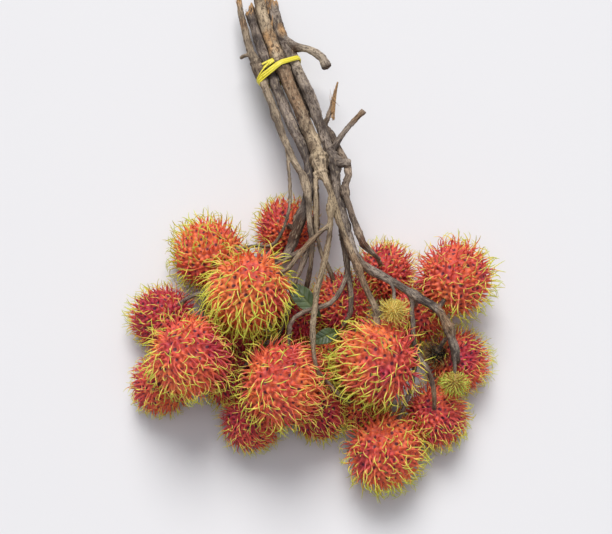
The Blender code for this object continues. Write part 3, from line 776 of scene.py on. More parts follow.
def rind_material(name, skin_stops, groove_shade_colour, root_stops, spine_stops, specks):
    """The finish of a fruit: skin, grooves painted darker as shade, specks and spines that change colour
    along their length.
    """
    made, tree, shader = new_material(name, skin_stops[1][1], 0.42)
    place = tree.nodes.new("ShaderNodeTexCoord").outputs["Object"]
    run, groove, tint, speck = attribute_node(tree, "rind_marks")
    warmth, greenness, collar, _ = attribute_node(tree, "ripeness")
    areas = noise_node(tree, place, 32, 1)
    patches = noise_node(tree, place, 90)
    fine = noise_node(tree, place, 700, 4)
    for pattern, strength in zip((areas, patches, fine, tint), BLUSH_SWINGS):
        warmth = math_node(tree, "ADD", warmth, swing_node(tree, pattern, 0.5, strength))

    skin = ramp_node(tree, warmth, skin_stops)
    # the grooves are mixed towards a darker colour: painted shade in the rind's grooves
    skin = mix_node(tree, range_node(tree, groove, 0.5, 1.0, 0, 0.55), skin, groove_shade_colour)
    if specks:
        inside, outside = (SPECK_ZERO + edge for edge in SPECK_EDGE)
        skin = mix_node(tree, range_node(tree, speck, inside, outside, 0.90, 0.0), skin, SPECK_COLOUR)
    skin = mix_node(tree, range_node(tree, collar, 0.35, 0.75), skin, COLLAR_COLOUR)

    sooner = swing_node(tree, greenness, MEAN_GREENNESS, 0.75)
    sooner = math_node(tree, "ADD", sooner, swing_node(tree, tint, 0.5, 0.30))
    sooner = math_node(tree, "MULTIPLY", sooner, range_node(tree, run, 0.0, 0.3))
    along = math_node(tree, "ADD", run, sooner, True)
    root = ramp_node(tree, warmth, root_stops)
    spine = mix_node(tree, range_node(tree, along, 0.30, 0.58), root, ramp_node(tree, along, spine_stops))
    spine = mix_node(tree, range_node(tree, fine, 0.35, 0.75, 0, 0.35), spine, DRY_TIP)

    colour = mix_node(tree, range_node(tree, run, 0.03, 0.30), skin, spine)
    surface(tree, shader, colour, range_node(tree, fine, 0.3, 0.7, 0.40, 0.62), 0.35, fine, 0.35, 0.0004)
    shader.inputs["Subsurface Weight"].default_value = 0.25
    shader.inputs["Subsurface Radius"].default_value = (1.0, 0.45, 0.15)
    shader.inputs["Subsurface Scale"].default_value = 0.0015
    return made


RIPE_RIND = rind_material(
    "coral_rind",
    ((0.0, (0.52, 0.046, 0.076)), (0.45, (0.81, 0.140, 0.082)), (1.0, (0.93, 0.27, 0.078))),
    # painted shade in the grooves
    (0.34, 0.034, 0.044),
    ((0.0, (0.48, 0.030, 0.088)), (0.45, (0.70, 0.072, 0.098)), (1.0, (0.82, 0.15, 0.085))),
    ((0.0, (0.66, 0.070, 0.090)), (0.47, (0.80, 0.19, 0.11)), (0.60, (0.95, 0.62, 0.16)),
     (0.76, (0.82, 0.78, 0.12)), (1.0, (0.57, 0.64, 0.075))),
    True,
)
UNRIPE_RIND = rind_material(
    "straw_rind",
    ((0.0, (0.42, 0.28, 0.06)), (0.5, (0.60, 0.44, 0.10)), (1.0, (0.72, 0.55, 0.14))),
    # painted shade in the grooves
    (0.26, 0.17, 0.04),
    ((0.0, (0.55, 0.40, 0.08)), (0.5, (0.62, 0.46, 0.10)), (1.0, (0.68, 0.52, 0.13))),
    ((0.0, (0.62, 0.44, 0.10)), (0.35, (0.88, 0.70, 0.20)), (0.65, (0.78, 0.72, 0.17)),
     (1.0, (0.46, 0.60, 0.08))),
    False,
)
WITHERED_RIND = rind_material(
    "withered_rind",
    ((0.0, (0.014, 0.011, 0.009)), (0.5, (0.030, 0.021, 0.014)), (1.0, (0.060, 0.040, 0.022))),
    # painted shade in the grooves
    (0.010, 0.008, 0.006),
    ((0.0, (0.040, 0.024, 0.016)), (0.5, (0.060, 0.038, 0.022)), (1.0, (0.10, 0.058, 0.028))),
    ((0.0, (0.050, 0.030, 0.018)), (0.4, (0.11, 0.064, 0.030)), (0.7, (0.26, 0.165, 0.065)),
     (1.0, (0.36, 0.26, 0.10))),
    False,
)
print("rind materials", RIPE_RIND.name, UNRIPE_RIND.name, WITHERED_RIND.name)

# %% [markdown]
# ## The ripe fruits
# With the blank, the looks and the finish in place, every ripe fruit is grown the same way. Each has
# its own mesh, because its spines lie round its own neighbours.

# %% Grow the ripe fruits
for name, look in LOOKS.items():
    grown = grow_fruit(name, RIPE_BLANK, look, RIPE_RIND, HILL, SPINE_LENGTH, THICKNESS)
print("last fruit has", len(grown.data.polygons), "faces")

# %% [markdown]
# ## The fruits that never ripened
# Three fruits stopped growing at about a centimetre. They have the same build, but their
# fine short spines stand so close that they look like a brush. Two are still the colour of straw and
# lime. The third dried up on its stalk: it is almost black, and its spines have curled up.

# %% Grow the unripe fruits
UNRIPE_LOOKS = {
    "unripe_fruit_1": ((0.15, 0.35, 0.3), 1.05, 0.4, 0.8, 0.10),
    "unripe_fruit_2": ((0.0, 0.0, 0.3), 1.0, 0.6, 0.2, 1.05),
    "withered_fruit": ((-0.5, 0.3, 0.2), 1.0, 2.2, 0.4, 0.40),
}
UNRIPE_SPINE_LENGTH = 5.8
UNRIPE_HILL = 0.25
FINE = 0.50  # an unripe spine's thickness as a share of a ripe one's
for name, look in UNRIPE_LOOKS.items():
    finish, slot = UNRIPE_RIND, "unripe_rind"
    if name.startswith("withered"):
        finish, slot = WITHERED_RIND, "withered_rind"
    grown = grow_fruit(name, UNRIPE_BLANK, look, finish, UNRIPE_HILL, UNRIPE_SPINE_LENGTH, THICKNESS * FINE)
print("unripe fruit has", len(grown.data.polygons), "faces")
for blank in (RIPE_BLANK, UNRIPE_BLANK):
    bpy.data.objects.remove(blank["ball"])

# %% [markdown]
# ## Stems
# The stems are woody twigs a few years old: grey and wrinkled lengthwise, ringed and knobby where side
# twigs left, brown where the bark rubbed off and tan where they tore. The solids are smooth tubes with
# flat sides. A voxel remesh of a welded copy gives an even skin that a fine relief can move, and a
# smoothing pass rounds the flats off.

# %% Skin a stem
BARK_VOXEL = 0.55
SMOOTHING, SMOOTHING_PASSES = 0.6, 7
SAME_PLACE = 1e-6  # metres between corners that are one


def edit_all(operator, **settings):
    """Runs a mesh operator on the whole of the active object."""
    bpy.ops.object.mode_set(mode="EDIT")
    bpy.ops.mesh.select_all(action="SELECT")
    operator(**settings)
    bpy.ops.object.mode_set(mode="OBJECT")


def welded_copy(name, source):
    """A copy of a CAD node as a new object, its loose triangles merged into a closed skin."""
    bpy.ops.object.select_all(action="DESELECT")
    made = bpy.data.objects.new(name, nodes[source].data.copy())
    made.data.name = name
    bpy.context.collection.objects.link(made)
    bpy.context.view_layer.objects.active = made
    made.select_set(True)
    edit_all(bpy.ops.mesh.remove_doubles, threshold=SAME_PLACE)
    return made


def remeshed(name, source):
    """An evenly meshed, smoothed copy of a CAD node."""
    made = welded_copy(name, source)
    made.data.remesh_voxel_size = BARK_VOXEL * MM
    bpy.ops.object.voxel_remesh()
    smooth = made.modifiers.new("smooth", "SMOOTH")
    smooth.factor = SMOOTHING
    smooth.iterations = SMOOTHING_PASSES
    bpy.ops.object.modifier_apply(modifier=smooth.name)
    bpy.ops.object.shade_smooth()
    return made


print("stems are meshed every", BARK_VOXEL, "mm")

# %% [markdown]
# ## The grain of the wood
# Wrinkles and streaks have to run along each twig, however it bends. So the distance from the cut end
# is walked along the solid's edges, always going on from the nearest corner not yet left. Together
# with the way the skin faces it gives every point a place in the grain.

# %% Find the grain
CUT_END = 1.5  # mm from the farthest corner, within which all is the cut end
CORNER_PULL = 0.3  # mm that keep the nearest corner of a face from counting alone


def distance_along(corners, faces):
    """Each corner's distance from the cut end, walked along the solid's edges."""
    links = [[] for _ in corners]
    for a, b, c in faces:
        for i, j in ((a, b), (b, c), (c, a)):
            step = float(np.linalg.norm(corners[i] - corners[j]))
            links[i].append((j, step))
            links[j].append((i, step))
    far = np.full(len(corners), np.inf)
    queue = [(0.0, int(i)) for i in np.flatnonzero(corners[:, 1] > corners[:, 1].max() - CUT_END)]
    for _, i in queue:
        far[i] = 0
    heapq.heapify(queue)
    while queue:
        so_far, i = heapq.heappop(queue)
        if so_far > far[i]:
            continue
        for j, step in links[i]:
            if so_far + step < far[j]:
                far[j] = so_far + step
                heapq.heappush(queue, (far[j], j))
    return far


def slope_of(values, corners, faces):
    """The direction in which a value at the corners grows fastest, at each corner."""
    a, b, c = (corners[faces[:, k]] for k in range(3))
    normal = np.cross(b - a, c - a)
    area = np.maximum(np.linalg.norm(normal, axis=1, keepdims=True), 1e-9)
    normal = normal / area
    slope = sum(np.cross(normal, edge) * values[faces[:, k]][:, None]
                for k, edge in ((0, c - b), (1, a - c), (2, b - a)))
    total = np.zeros_like(corners)
    for k in range(3):
        np.add.at(total, faces[:, k], slope)
    return unit(total)


def grain_of(made, source):
    """Distance from the cut end, direction along the twig and (sideways, up, along) for each point."""
    corners, faces = node_mesh(source)
    far = distance_along(corners, faces)
    slope = slope_of(far, corners, faces)
    tree = BVHTree.FromPolygons(corners.tolist(), faces.tolist())
    points = coordinates(made.data) / MM
    hits = [tree.find_nearest(Vector(p)) for p in points]
    where = np.array([hit[0] for hit in hits])
    face = faces[[hit[2] for hit in hits]]
    reach = 1 / (np.linalg.norm(corners[face] - where[:, None], axis=2) + CORNER_PULL)
    reach /= reach.sum(1, keepdims=True)
    along = (far[face] * reach).sum(1)
    ahead = unit((slope[face] * reach[..., None]).sum(1))
    normals = np.empty(len(points) * 3)
    made.data.vertices.foreach_get("normal", normals)
    normals = normals.reshape(-1, 3)
    across = unit(np.cross(ahead, (0.05, 0.0, 1.0)))
    up = np.cross(across, ahead)
    grain = np.stack([(normals * across).sum(1), (normals * up).sum(1), along], 1)
    return points, normals, along, ahead, grain


def noise_of(places):
    """Blender's noise at each place."""
    return np.array([noise.noise(Vector(p)) for p in places])


print("all within", CUT_END, "mm of the farthest corner is the cut end")

# %% [markdown]
# ## Colours of the wood
# Each branch has a dark and a light bark colour that streaks mix. On top of that come the marks that
# tell the branches apart, laid on like soft brush strokes: tan where a twig tore off or its bark
# peeled, dark brown round the knots, pale grey on the young twigs in front.

# %% Bark colours and marks
GREY_BROWN = (0.165, 0.115, 0.085)
PALE_TWIG = (0.36, 0.272, 0.170)
PALE_STUB = (0.47, 0.385, 0.290)
DARK_GREY = (0.085, 0.068, 0.062)
TORN = (0.57, 0.33, 0.15)
KNOT = (0.085, 0.045, 0.028)
TAN_BARK = (0.27, 0.17, 0.10)
RED_BROWN = (0.13, 0.055, 0.032)
TONES = {  # dark and light bark
    "branch_back": ((0.10, 0.072, 0.055), (0.33, 0.250, 0.190)),
    "branch_left": ((0.12, 0.090, 0.066), (0.41, 0.320, 0.225)),
    "branch_low": ((0.10, 0.074, 0.058), (0.33, 0.250, 0.190)),
    "branch_outer": ((0.12, 0.088, 0.068), (0.40, 0.300, 0.220)),
    "branch_peeled": ((0.17, 0.118, 0.076), (0.53, 0.410, 0.275)),
    "branch_right": ((0.092, 0.072, 0.062), (0.35, 0.285, 0.235)),
    "branch_thick": ((0.085, 0.068, 0.060), (0.30, 0.240, 0.200)),
}
MARKS = {  # x, y, z in mm, reach and colour
    "branch_left": [((-47, 161, 14), 11, TORN), ((-42, 140, 19), 6, TAN_BARK), ((-31, 105, 27), 7, KNOT)],
    "branch_thick": [((-41, 151, 15), 3, TORN), ((1, 30, 43), 26, DARK_GREY), ((-8, -5, 43), 16, KNOT)],
    "branch_peeled": [((-34, 164, 15), 4, TORN), ((-28, 128, 23), 8, TORN), ((-24, 119, 26), 7, TORN),
                      ((-19, 108, 29), 7, KNOT), ((-13, 95, 34), 13, TAN_BARK), ((-9, 80, 36), 14, TAN_BARK),
                      ((-5, 68, 38), 9, KNOT), ((5, 42, 50), 6, PALE_TWIG), ((8, 35, 51), 3, KNOT),
                      ((14, 5, 58), 18, PALE_TWIG), ((4, -40, 64), 30, PALE_TWIG),
                      ((29, -33, 62), 22, TAN_BARK), ((0, -20, 63), 12, TAN_BARK)],
    "branch_right": [((-26, 157, 14), 3, TORN), ((-16, 136, 24), 7, TORN), ((0, 112, 31), 16, PALE_STUB),
                     ((-9, 119, 28), 5, KNOT), ((12, 104, 34), 5, KNOT), ((16, 37, 45), 5, KNOT),
                     ((30, 67, 51), 8, TAN_BARK), ((28, -30, 52), 10, TAN_BARK), ((73, -95, 42), 9, KNOT),
                     ((77, -108, 40), 9, TAN_BARK), ((72, -49, 49), 11, DARK_GREY),
                     ((84, -62, 47), 13, TAN_BARK), ((90, -85, 38), 6, KNOT)],
    "branch_outer": [((-30, 162, 8), 4, TORN), ((17, 92, 45), 15, TORN), ((32, -16, 54), 8, RED_BROWN)],
    "branch_back": [((-31, 160, 7), 4, TORN), ((19, 0, 47), 8, KNOT)],
    "branch_low": [((-39, 157, 8), 4, TORN), ((3, 5, 42), 10, KNOT)],
}
print(sum(len(marks) for marks in MARKS.values()), "marks on", len(TONES), "branches")

# %% [markdown]
# ## The bark's finish
# Real bark is darker in its furrows and paler on its worn ridges, and here the dark streaks also carry
# painted shade and the pale ones a painted highlight. It is dotted with small brown spots. The noise that
# makes them reads the grain attribute instead of Object coordinates, stretched lengthwise, so streaks
# follow every bend. The same noise drives the bump, so that dark streaks lie deep.

# %% Bark material
# the furrow colour is partly painted shade, and the worn ridge colour partly a painted highlight
FURROW_AND_SHADE = (0.040, 0.028, 0.023)
WORN_RIDGE_AND_HIGHLIGHT = (0.47, 0.375, 0.255)
BARK_SPOT = (0.060, 0.037, 0.026)


def grain_node(tree, scale):
    """The grain attribute, scaled across, up and along, for a noise to read."""
    grain = tree.nodes.new("ShaderNodeAttribute")
    grain.attribute_name = "grain"
    stretch = tree.nodes.new("ShaderNodeMapping")
    stretch.inputs["Scale"].default_value = scale
    tree.links.new(grain.outputs["Vector"], stretch.inputs["Vector"])
    return stretch.outputs[0]


def bark_material():
    """Bark whose streaks, spots and relief follow the grain attribute."""
    made, tree, shader = new_material("twig_bark", GREY_BROWN, 0.85)
    streaks = noise_node(tree, grain_node(tree, (2.6, 2.6, 0.22)), 1.7, 6)
    mottle = noise_node(tree, grain_node(tree, (2.2, 2.2, 0.9)), 1.5, 4)
    tone = tree.nodes.new("ShaderNodeAttribute")
    tone.attribute_name = "bark_tone"
    colour = tone.outputs["Color"]
    # dark streaks: partly the bark's own darker furrows, partly painted shade in them
    colour = mix_node(tree, range_node(tree, streaks, 0.49, 0.64, 0, 0.80), colour, FURROW_AND_SHADE)
    # pale streaks: partly worn bark, partly a painted highlight on the ridges
    colour = mix_node(tree, range_node(tree, streaks, 0.46, 0.34, 0, 0.50), colour, WORN_RIDGE_AND_HIGHLIGHT)
    colour = mix_node(tree, range_node(tree, mottle, 0.55, 0.64, 0, 0.70), colour, BARK_SPOT)
    relief = math_node(tree, "ADD", streaks, math_node(tree, "MULTIPLY", mottle, 0.6))
    rough = range_node(tree, streaks, 0.35, 0.65, 0.72, 0.95)
    surface(tree, shader, colour, rough, 0.3, relief, 0.7, 0.0005)
    return made


BARK = bark_material()
print("bark material", BARK.name, "with", len(BARK.node_tree.nodes), "nodes")

# %% [markdown]
# ## Knobs and collars
# Where a side twig left, the wood is swollen into a knob, and at some forks a square ring stands round
# the branch. Both raise the skin near a chosen point: a knob on all sides, a collar only in a narrow
# band across the twig.

# %% Knobs and collars
KNOBS = {  # x, y, z in mm, reach and rise
    "branch_left": [((-31, 106, 28), 8, 1.5), ((2, 30, 46), 7, 1.4), ((-22, 73, 34), 6, 0.8)],
    "branch_thick": [((-27, 122, 25), 8, 1.0), ((0, 30, 43), 8, 1.2), ((-9, 4, 43), 8, 1.0)],
    "branch_peeled": [((-19, 108, 29), 8, 2.0), ((-23, 116, 28), 6, 1.2), ((6, 38, 48), 7.5, 3.2),
                      ((7, 29, 50), 5, 1.8), ((13, 5, 60), 6, 1.3), ((0, -46, 64), 5.5, 1.5),
                      ((2, 78, 40), 8, 1.3), ((29, -33, 62), 5, 1.2), ((-3, 60, 38), 8, 0.9)],
    "branch_right": [((-11, 117, 28), 7.5, 2.2), ((10, 106, 33), 6.5, 2.3), ((3, 92, 37), 7, 1.2),
                     ((16, 38, 45), 8, 2.6), ((24, 37, 48), 5, 2.4), ((33, 70, 51), 4, 0.8),
                     ((28, -2, 53), 6, 1.2), ((64, -47, 50), 7, 1.4), ((86, -66, 46), 8, 1.8),
                     ((27, -24, 54), 6, 1.2), ((-4, 112, 30), 5, 0.8)],
    "branch_outer": [((16, 62, 40), 7, 1.8), ((21, 18, 51), 6, 1.5), ((20, 34, 49), 5, 1.0)],
    "branch_back": [((19, 2, 47), 6, 1.5), ((15, 16, 44), 5, 1.0)],
    "branch_low": [((3, 0, 42), 6, 1.5)],
}
COLLARS = {  # x, y, z in mm, length along the twig and rise
    "branch_peeled": [((5, 41, 47), 3.2, 1.3), ((9, 31, 49), 1.6, 0.7)],
    "branch_right": [((16, 45, 44), 2.0, 0.8)],
    "branch_left": [((-33, 112, 27), 2.0, 0.6)],
}
COLLAR_REACH = 8  # mm from its point to the collar's farthest part
COLLAR_EDGE = 0.5  # mm over which a collar rises


def knob_rise(points, ahead, name):
    """How far each point is raised by the knobs and collars of its branch, in mm."""
    rise = np.zeros(len(points))
    for place, reach, height in KNOBS[name]:
        far = np.linalg.norm(points - np.array(place), axis=1) / reach
        rise += height * np.clip(1 - far**2, 0, 1) ** 2 * (1 + 0.5 * noise_of(points * 0.45))
    for place, length, height in COLLARS.get(name, ()):
        offset = points - np.array(place)
        near = np.linalg.norm(offset, axis=1) < COLLAR_REACH
        level = np.abs((offset * unit(ahead[near].mean(0))).sum(1))
        rise += height * near * np.clip((length / 2 - level) / COLLAR_EDGE + 0.5, 0, 1)
    return rise


print(sum(len(knobs) for knobs in KNOBS.values()), "knobs")

# %% [markdown]
# ## Bark relief, torn ends and painted bark
# Three noises of different sizes make the wrinkles, the fine grain and the lumps, and narrow rings go
# round the twig at random distances. The cut ends weren't sawn but torn, so they are drawn back unevenly
# along the fibres. The colour of the bark is worked out for each point from the tables above.

# %% Relief and colour of the bark
NOISE_SPREAD = 37.0  # moves one stem's noise away from the next one's
WRINKLES = ((2.4, 2.4, 0.07), 0.48)  # scale across, up and along, and height in mm
FINE_GRAIN = ((5.0, 5.0, 0.25), 0.26)
LUMPS = ((0.7, 0.7, 0.11), 0.60)
RINGS, FIRST_RING, RING_WIDTH = 16, 8, 0.8
TEAR_REACH, TEAR_DEPTH = 7, 5.0  # mm from the cut end, and how far its fibres are drawn back
TORN_SHARE = 0.8  # how much of the bark's colour is gone right at the cut end


def bark_relief(grain, along, seed):
    """Height of the bark in mm: lengthwise wrinkles, lumps and narrow rings."""
    shift = seed * NOISE_SPREAD
    wrinkles = noise_of(grain * WRINKLES[0] + shift)
    fine = noise_of(grain * FINE_GRAIN[0] + shift + 5)
    lumps = noise_of(grain * LUMPS[0] + shift + 9)
    rings = np.zeros(len(along))
    for ring in draw.uniform(FIRST_RING, along.max(), RINGS):
        rings += draw.uniform(0.15, 0.45) * np.exp(-(((along - ring) / RING_WIDTH) ** 2))
    return WRINKLES[1] * wrinkles + FINE_GRAIN[1] * fine + LUMPS[1] * lumps + rings * (0.6 + fine)


def tear_ends(points, along, ahead):
    """Breaks the cut end off unevenly, along its fibres."""
    torn = np.clip(1 - along / TEAR_REACH, 0, 1)
    depth = TEAR_DEPTH * np.clip(0.5 + 1.6 * noise_of(points * (0.45, 0.12, 0.45)), 0, 1.3)
    return points + ahead * (torn * depth)[:, None]


def paint_bark(points, along, name):
    """Bark colour at each point."""
    dark, light = (np.array(tone) for tone in TONES[name])
    share = np.clip(0.5 + 1.5 * noise_of(points * 0.09), 0, 1)[:, None]
    colour = dark + (light - dark) * share
    for place, reach, mark in MARKS[name]:
        far = np.linalg.norm(points - np.array(place), axis=1) / reach
        ragged = far + 0.35 * noise_of(points * (0.5, 0.18, 0.5) + 3)
        strength = np.clip(1.6 * (1 - ragged), 0, 1)[:, None]
        colour = colour + (np.array(mark) - colour) * strength
    end = np.clip(1.4 - along / 3.0, 0, 1)[:, None]
    return colour + (np.array(TORN) - colour) * end * TORN_SHARE


def keep_grain(mesh, places):
    """Stores each corner's place in the grain for the finish to read."""
    mesh.attributes.new("grain", "FLOAT_VECTOR", "POINT").data.foreach_set("vector", places.ravel())


print("bark relief up to about", WRINKLES[1] + FINE_GRAIN[1] + LUMPS[1], "mm")

# %% [markdown]
# ## The stems
# Now each branch is skinned, given its relief, knobs and torn ends, and painted.

# %% Make the stems
for seed, branch in enumerate(BRANCHES):
    stem = remeshed(branch.replace("branch", "stem"), branch)
    points, normals, along, ahead, grain = grain_of(stem, branch)
    relief = bark_relief(grain, along, seed) + knob_rise(points, ahead, branch)
    points = tear_ends(points + normals * relief[:, None], along, ahead)
    settle(stem, points, BARK)
    keep_grain(stem.data, grain + seed * NOISE_SPREAD)
    paint_points(stem.data, "bark_tone", paint_bark(points, along, branch).T)
    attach(stem, BODY)
    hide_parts(branch)
    print(stem.name, len(points), "points, up to", round(along.max()), "mm from the cut end")

# %% [markdown]
# ## Torn fibres
# Where a twig was ripped off, long tan splinters stand up from the wood. One splinter is modelled from
# a cone, squeezed flat and cut across a few times so that it can bend. The copies are laid along the
# wood's own direction, and each is bent and scaled its own way.

# %% Model one splinter
SPLINTER_FLATNESS = 0.45
bpy.ops.object.select_all(action="DESELECT")
bpy.ops.mesh.primitive_cone_add(vertices=5, radius1=1, radius2=0.08, depth=1, location=(0, 0, 0.5))
splinter = bpy.context.object
splinter.name = "splinter"
for cut in (0.25, 0.5, 0.75):
    edit_all(bpy.ops.mesh.bisect, plane_co=(0, 0, cut), plane_no=(0, 0, 1))
edit_all(bpy.ops.transform.resize, value=(1, SPLINTER_FLATNESS, 1), center_override=(0, 0, 0))
splinter_shape = coordinates(splinter.data)
splinter_faces = [tuple(face.vertices) for face in splinter.data.polygons]
bpy.data.objects.remove(splinter)
print("one splinter has", len(splinter_faces), "faces")

# %% Lay out the splinters
SPLINTERS = [  # foot, tip, how many, spread of their tips and half width, in mm, and colour
    ((-47.0, 156.0, 14.0), (-50.5, 167.0, 13.0), 7, 1.4, 0.55, TORN),
    ((-41.0, 149.0, 15.0), (-43.0, 156.0, 15.5), 6, 1.6, 0.55, TORN),
    ((-34.0, 160.0, 16.5), (-34.5, 166.0, 17.0), 5, 1.8, 0.50, TORN),
    ((-26.5, 154.0, 17.5), (-25.0, 165.0, 19.5), 6, 1.4, 0.60, TORN),
    ((-25.0, 138.0, 22.0), (-22.5, 153.0, 26.0), 4, 0.9, 0.90, TORN),
    ((15.5, 80.0, 43.0), (18.5, 103.0, 47.0), 6, 1.0, 0.75, TORN),
    ((13.5, 78.0, 42.0), (10.5, 99.0, 47.0), 3, 0.8, 0.50, TORN),
    ((32.5, 69.0, 50.0), (37.0, 74.0, 52.0), 4, 1.4, 0.35, TORN),
    ((10.0, 107.0, 34.0), (14.5, 101.0, 35.0), 4, 0.8, 0.50, RED_BROWN),
    ((17.3, 77.0, 46.0), (23.0, 70.0, 50.0), 1, 0.2, 0.35, KNOT),
]


def laid_splinter(foot, tip, spread, half):
    """The corners of a splinter between about these two points, with a width and a bow of its own."""
    start = np.array(foot) + draw.normal(0, 0.5, 3)
    end = start + (np.array(tip) - foot) * draw.uniform(0.45, 1.05) + draw.normal(0, spread, 3)
    along = unit(end - start)
    across = unit(np.cross(along, draw.normal(0, 1, 3)))
    third = np.cross(along, across)
    bow = draw.normal(0, 0.06)
    x, y, z = splinter_shape.T
    length = np.linalg.norm(end - start)
    width = half * draw.uniform(0.6, 1.2)
    return (start + z[:, None] * (end - start) + (x * width)[:, None] * across
            + ((y * width) + bow * length * z * z)[:, None] * third)


def joined_piece(name, shapes, faces, finish):
    """A new object of the shapes' corners, in mm, and all their faces."""
    mesh = bpy.data.meshes.new(name)
    mesh.from_pydata((np.concatenate(shapes) * MM).tolist(), [], faces)
    mesh.materials.append(finish)
    piece = bpy.data.objects.new(name, mesh)
    bpy.context.collection.objects.link(piece)
    return piece


shapes, polygons, tones = [], [], []
for foot, tip, count, spread, half, tone in SPLINTERS:
    for _ in range(count):
        first = len(shapes) * len(splinter_shape)
        shapes.append(laid_splinter(foot, tip, spread, half))
        polygons += [tuple(i + first for i in face) for face in splinter_faces]
        tones.append(np.tile(np.array(tone) * draw.uniform(0.7, 1.25), (len(splinter_shape), 1)))
fibres = joined_piece("torn_fibres", shapes, polygons, BARK)
paint_points(fibres.data, "bark_tone", np.concatenate(tones).T)
keep_grain(fibres.data, np.concatenate(shapes) * (0.4, 1.0, 0.4))
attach(fibres, BODY)
print(len(shapes), "splinters")

# %% [markdown]
# ## Twine
# The tie is flat yellow plastic twine, wound round the bundle a few times and pulled tight, with its
# turns side by side and slightly crossed. Each turn bears only on the outermost stems. So the outline
# of the wood is taken as the farthest point in each direction round the bundle, and the turns follow
# the tight loop over those points. The twine's loose end was first wound once round a single stem, a
# little nearer the cut ends.

# %% Lead a turn of twine round the wood
LOOP_STEPS = 96
NEAR_TIE = 30  # mm of wood on each side of the tie that give the stems' direction
SLAB = 1.6  # half the width of the wood that a turn bears on
WAYS_ROUND = 360
tie = sum(np.array(corner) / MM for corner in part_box("twine")) / 2
near_tie = wood_corners[np.abs(wood_corners[:, 1] - tie[1]) < NEAR_TIE]
stem_run = np.linalg.svd(near_tie - near_tie.mean(0))[2][0]
stem_run *= np.sign(stem_run[1])
tie_across = unit(np.cross(stem_run, (0, 0, 1.0)))
tie_up = np.cross(tie_across, stem_run)
stems = [piece for piece in bpy.data.objects if piece.name.startswith("stem")]
stem_points = np.concatenate([coordinates(stem.data) / MM for stem in stems])
tie_reach = np.linalg.norm(node_mesh("twine")[0] - tie, axis=1).max()


def twine_loop(middle, within, shift, tilt_across, tilt_up, lift, turns, start):
    """Points of a tight loop round the wood that is within reach of the middle, shifted and tilted."""
    offset = stem_points - middle
    level = offset @ stem_run - shift - (offset @ tie_across) * tilt_across - (offset @ tie_up) * tilt_up
    slab = offset[(np.abs(level) < SLAB) & (np.linalg.norm(offset, axis=1) < within)]
    flat = np.stack([slab @ tie_across, slab @ tie_up])
    angles = np.linspace(0, 2 * math.pi, WAYS_ROUND, endpoint=False)
    support = (np.stack([np.cos(angles), np.sin(angles)], 1) @ flat).max(1) + lift
    points = []
    for turn in start + np.linspace(0, 2 * math.pi * turns, round(LOOP_STEPS * turns) + 1):
        reach = (support / np.clip(np.cos(angles - turn), 0.02, None)).min()
        a, b = reach * math.cos(turn), reach * math.sin(turn)
        run = shift + a * tilt_across + b * tilt_up
        points.append(middle + tie_across * a + tie_up * b + stem_run * run)
    points = np.array(points)
    for _ in range(3):
        points[1:-1] = (points[:-2] + 2 * points[1:-1] + points[2:]) / 4
    return points


print("the tie reaches", round(tie_reach, 1), "mm from its middle")

# %% [markdown]
# ## Winding the twine
# A flat ring of corners is swept along every turn, facing out from the bundle and twisted a little.
# Fine ribs run along it, as on plastic film that is split into fibres. The finish has the same fibres
# in its colour and its gloss.

# %% Wind the twine
TWINE_SIDES = 10
TWIST = 0.35
RIBS, RIB_HEIGHT = 5, 0.16
SWELL = 0.16  # how unevenly wide it is
FIBRE_RUN = 0.25  # of the grain for each step along the twine


def flat_strand(points, middle, half_width, half_thick):
    """Corners and faces of a closed flat strand along the points, facing out from the bundle."""
    ahead = unit(np.gradient(points, axis=0))
    out = points - middle - ((points - middle) @ stem_run)[:, None] * stem_run
    out = unit(out - (out * ahead).sum(1)[:, None] * ahead)
    wide = np.cross(ahead, out)
    turn = TWIST * noise_of(points * 0.12 + TWIST)[:, None]
    out, wide = out * np.cos(turn) + wide * np.sin(turn), wide * np.cos(turn) - out * np.sin(turn)
    angle = np.linspace(0, 2 * math.pi, TWINE_SIDES, endpoint=False)
    ribs = 1 + RIB_HEIGHT * np.cos(angle * RIBS)
    swell = (1 + SWELL * noise_of(points * 0.35 + 7))[:, None, None]
    ring = (np.cos(angle) * half_width)[None, :, None] * wide[:, None] * swell
    ring = ring + (np.sin(angle) * half_thick * ribs)[None, :, None] * out[:, None]
    corners = (points[:, None] + ring).reshape(-1, 3)
    count, n = len(points), TWINE_SIDES
    faces = [(i * n + k, i * n + (k + 1) % n, (i + 1) * n + (k + 1) % n, (i + 1) * n + k)
             for i in range(count - 1) for k in range(n)]
    faces += [tuple(range(n))[::-1], tuple(range((count - 1) * n, count * n))]
    return corners, faces


ONE_STEM = np.array((-25.8, 107.0, 26.0))  # where the loose end goes round a single stem
STRANDS = [  # middle, reach, shift, tilt across and up, lift, turns, start, half width and thickness
    (tie, tie_reach, -2.0, 0.01, 0.03, 0.10, 1.06, 0.4, 0.90, 0.36),
    (tie, tie_reach, -0.9, -0.02, -0.03, 0.35, 1.04, 2.3, 0.85, 0.36),
    (tie, tie_reach, 0.1, -0.03, 0.04, 0.10, 1.05, 4.0, 0.85, 0.34),
    (tie, tie_reach, 5.0, 0.30, 0.0, 0.55, 0.42, 1.8, 0.55, 0.30),
    (ONE_STEM, 6.5, 0.0, 0.10, 0.0, 0.30, 1.3, 4.5, 1.05, 0.36),
    (ONE_STEM, 6.5, 1.9, -0.06, 0.1, 0.30, 1.2, 4.2, 0.80, 0.34),
]
loops, polygons, runs, first = [], [], [], 0
for middle, within, shift, across, up, lift, turns, start, wide, thick in STRANDS:
    route = twine_loop(middle, within, shift, across, up, lift, turns, start)
    corners, faces = flat_strand(route, middle, wide, thick)
    loops.append(corners)
    polygons += [tuple(i + first for i in face) for face in faces]
    side = np.tile(np.arange(TWINE_SIDES), len(route)) / TWINE_SIDES * 2 * math.pi
    station = np.repeat(np.arange(len(route)), TWINE_SIDES) * FIBRE_RUN
    runs.append(np.stack([np.cos(side), np.sin(side), station], 1) + first)
    first += len(corners)

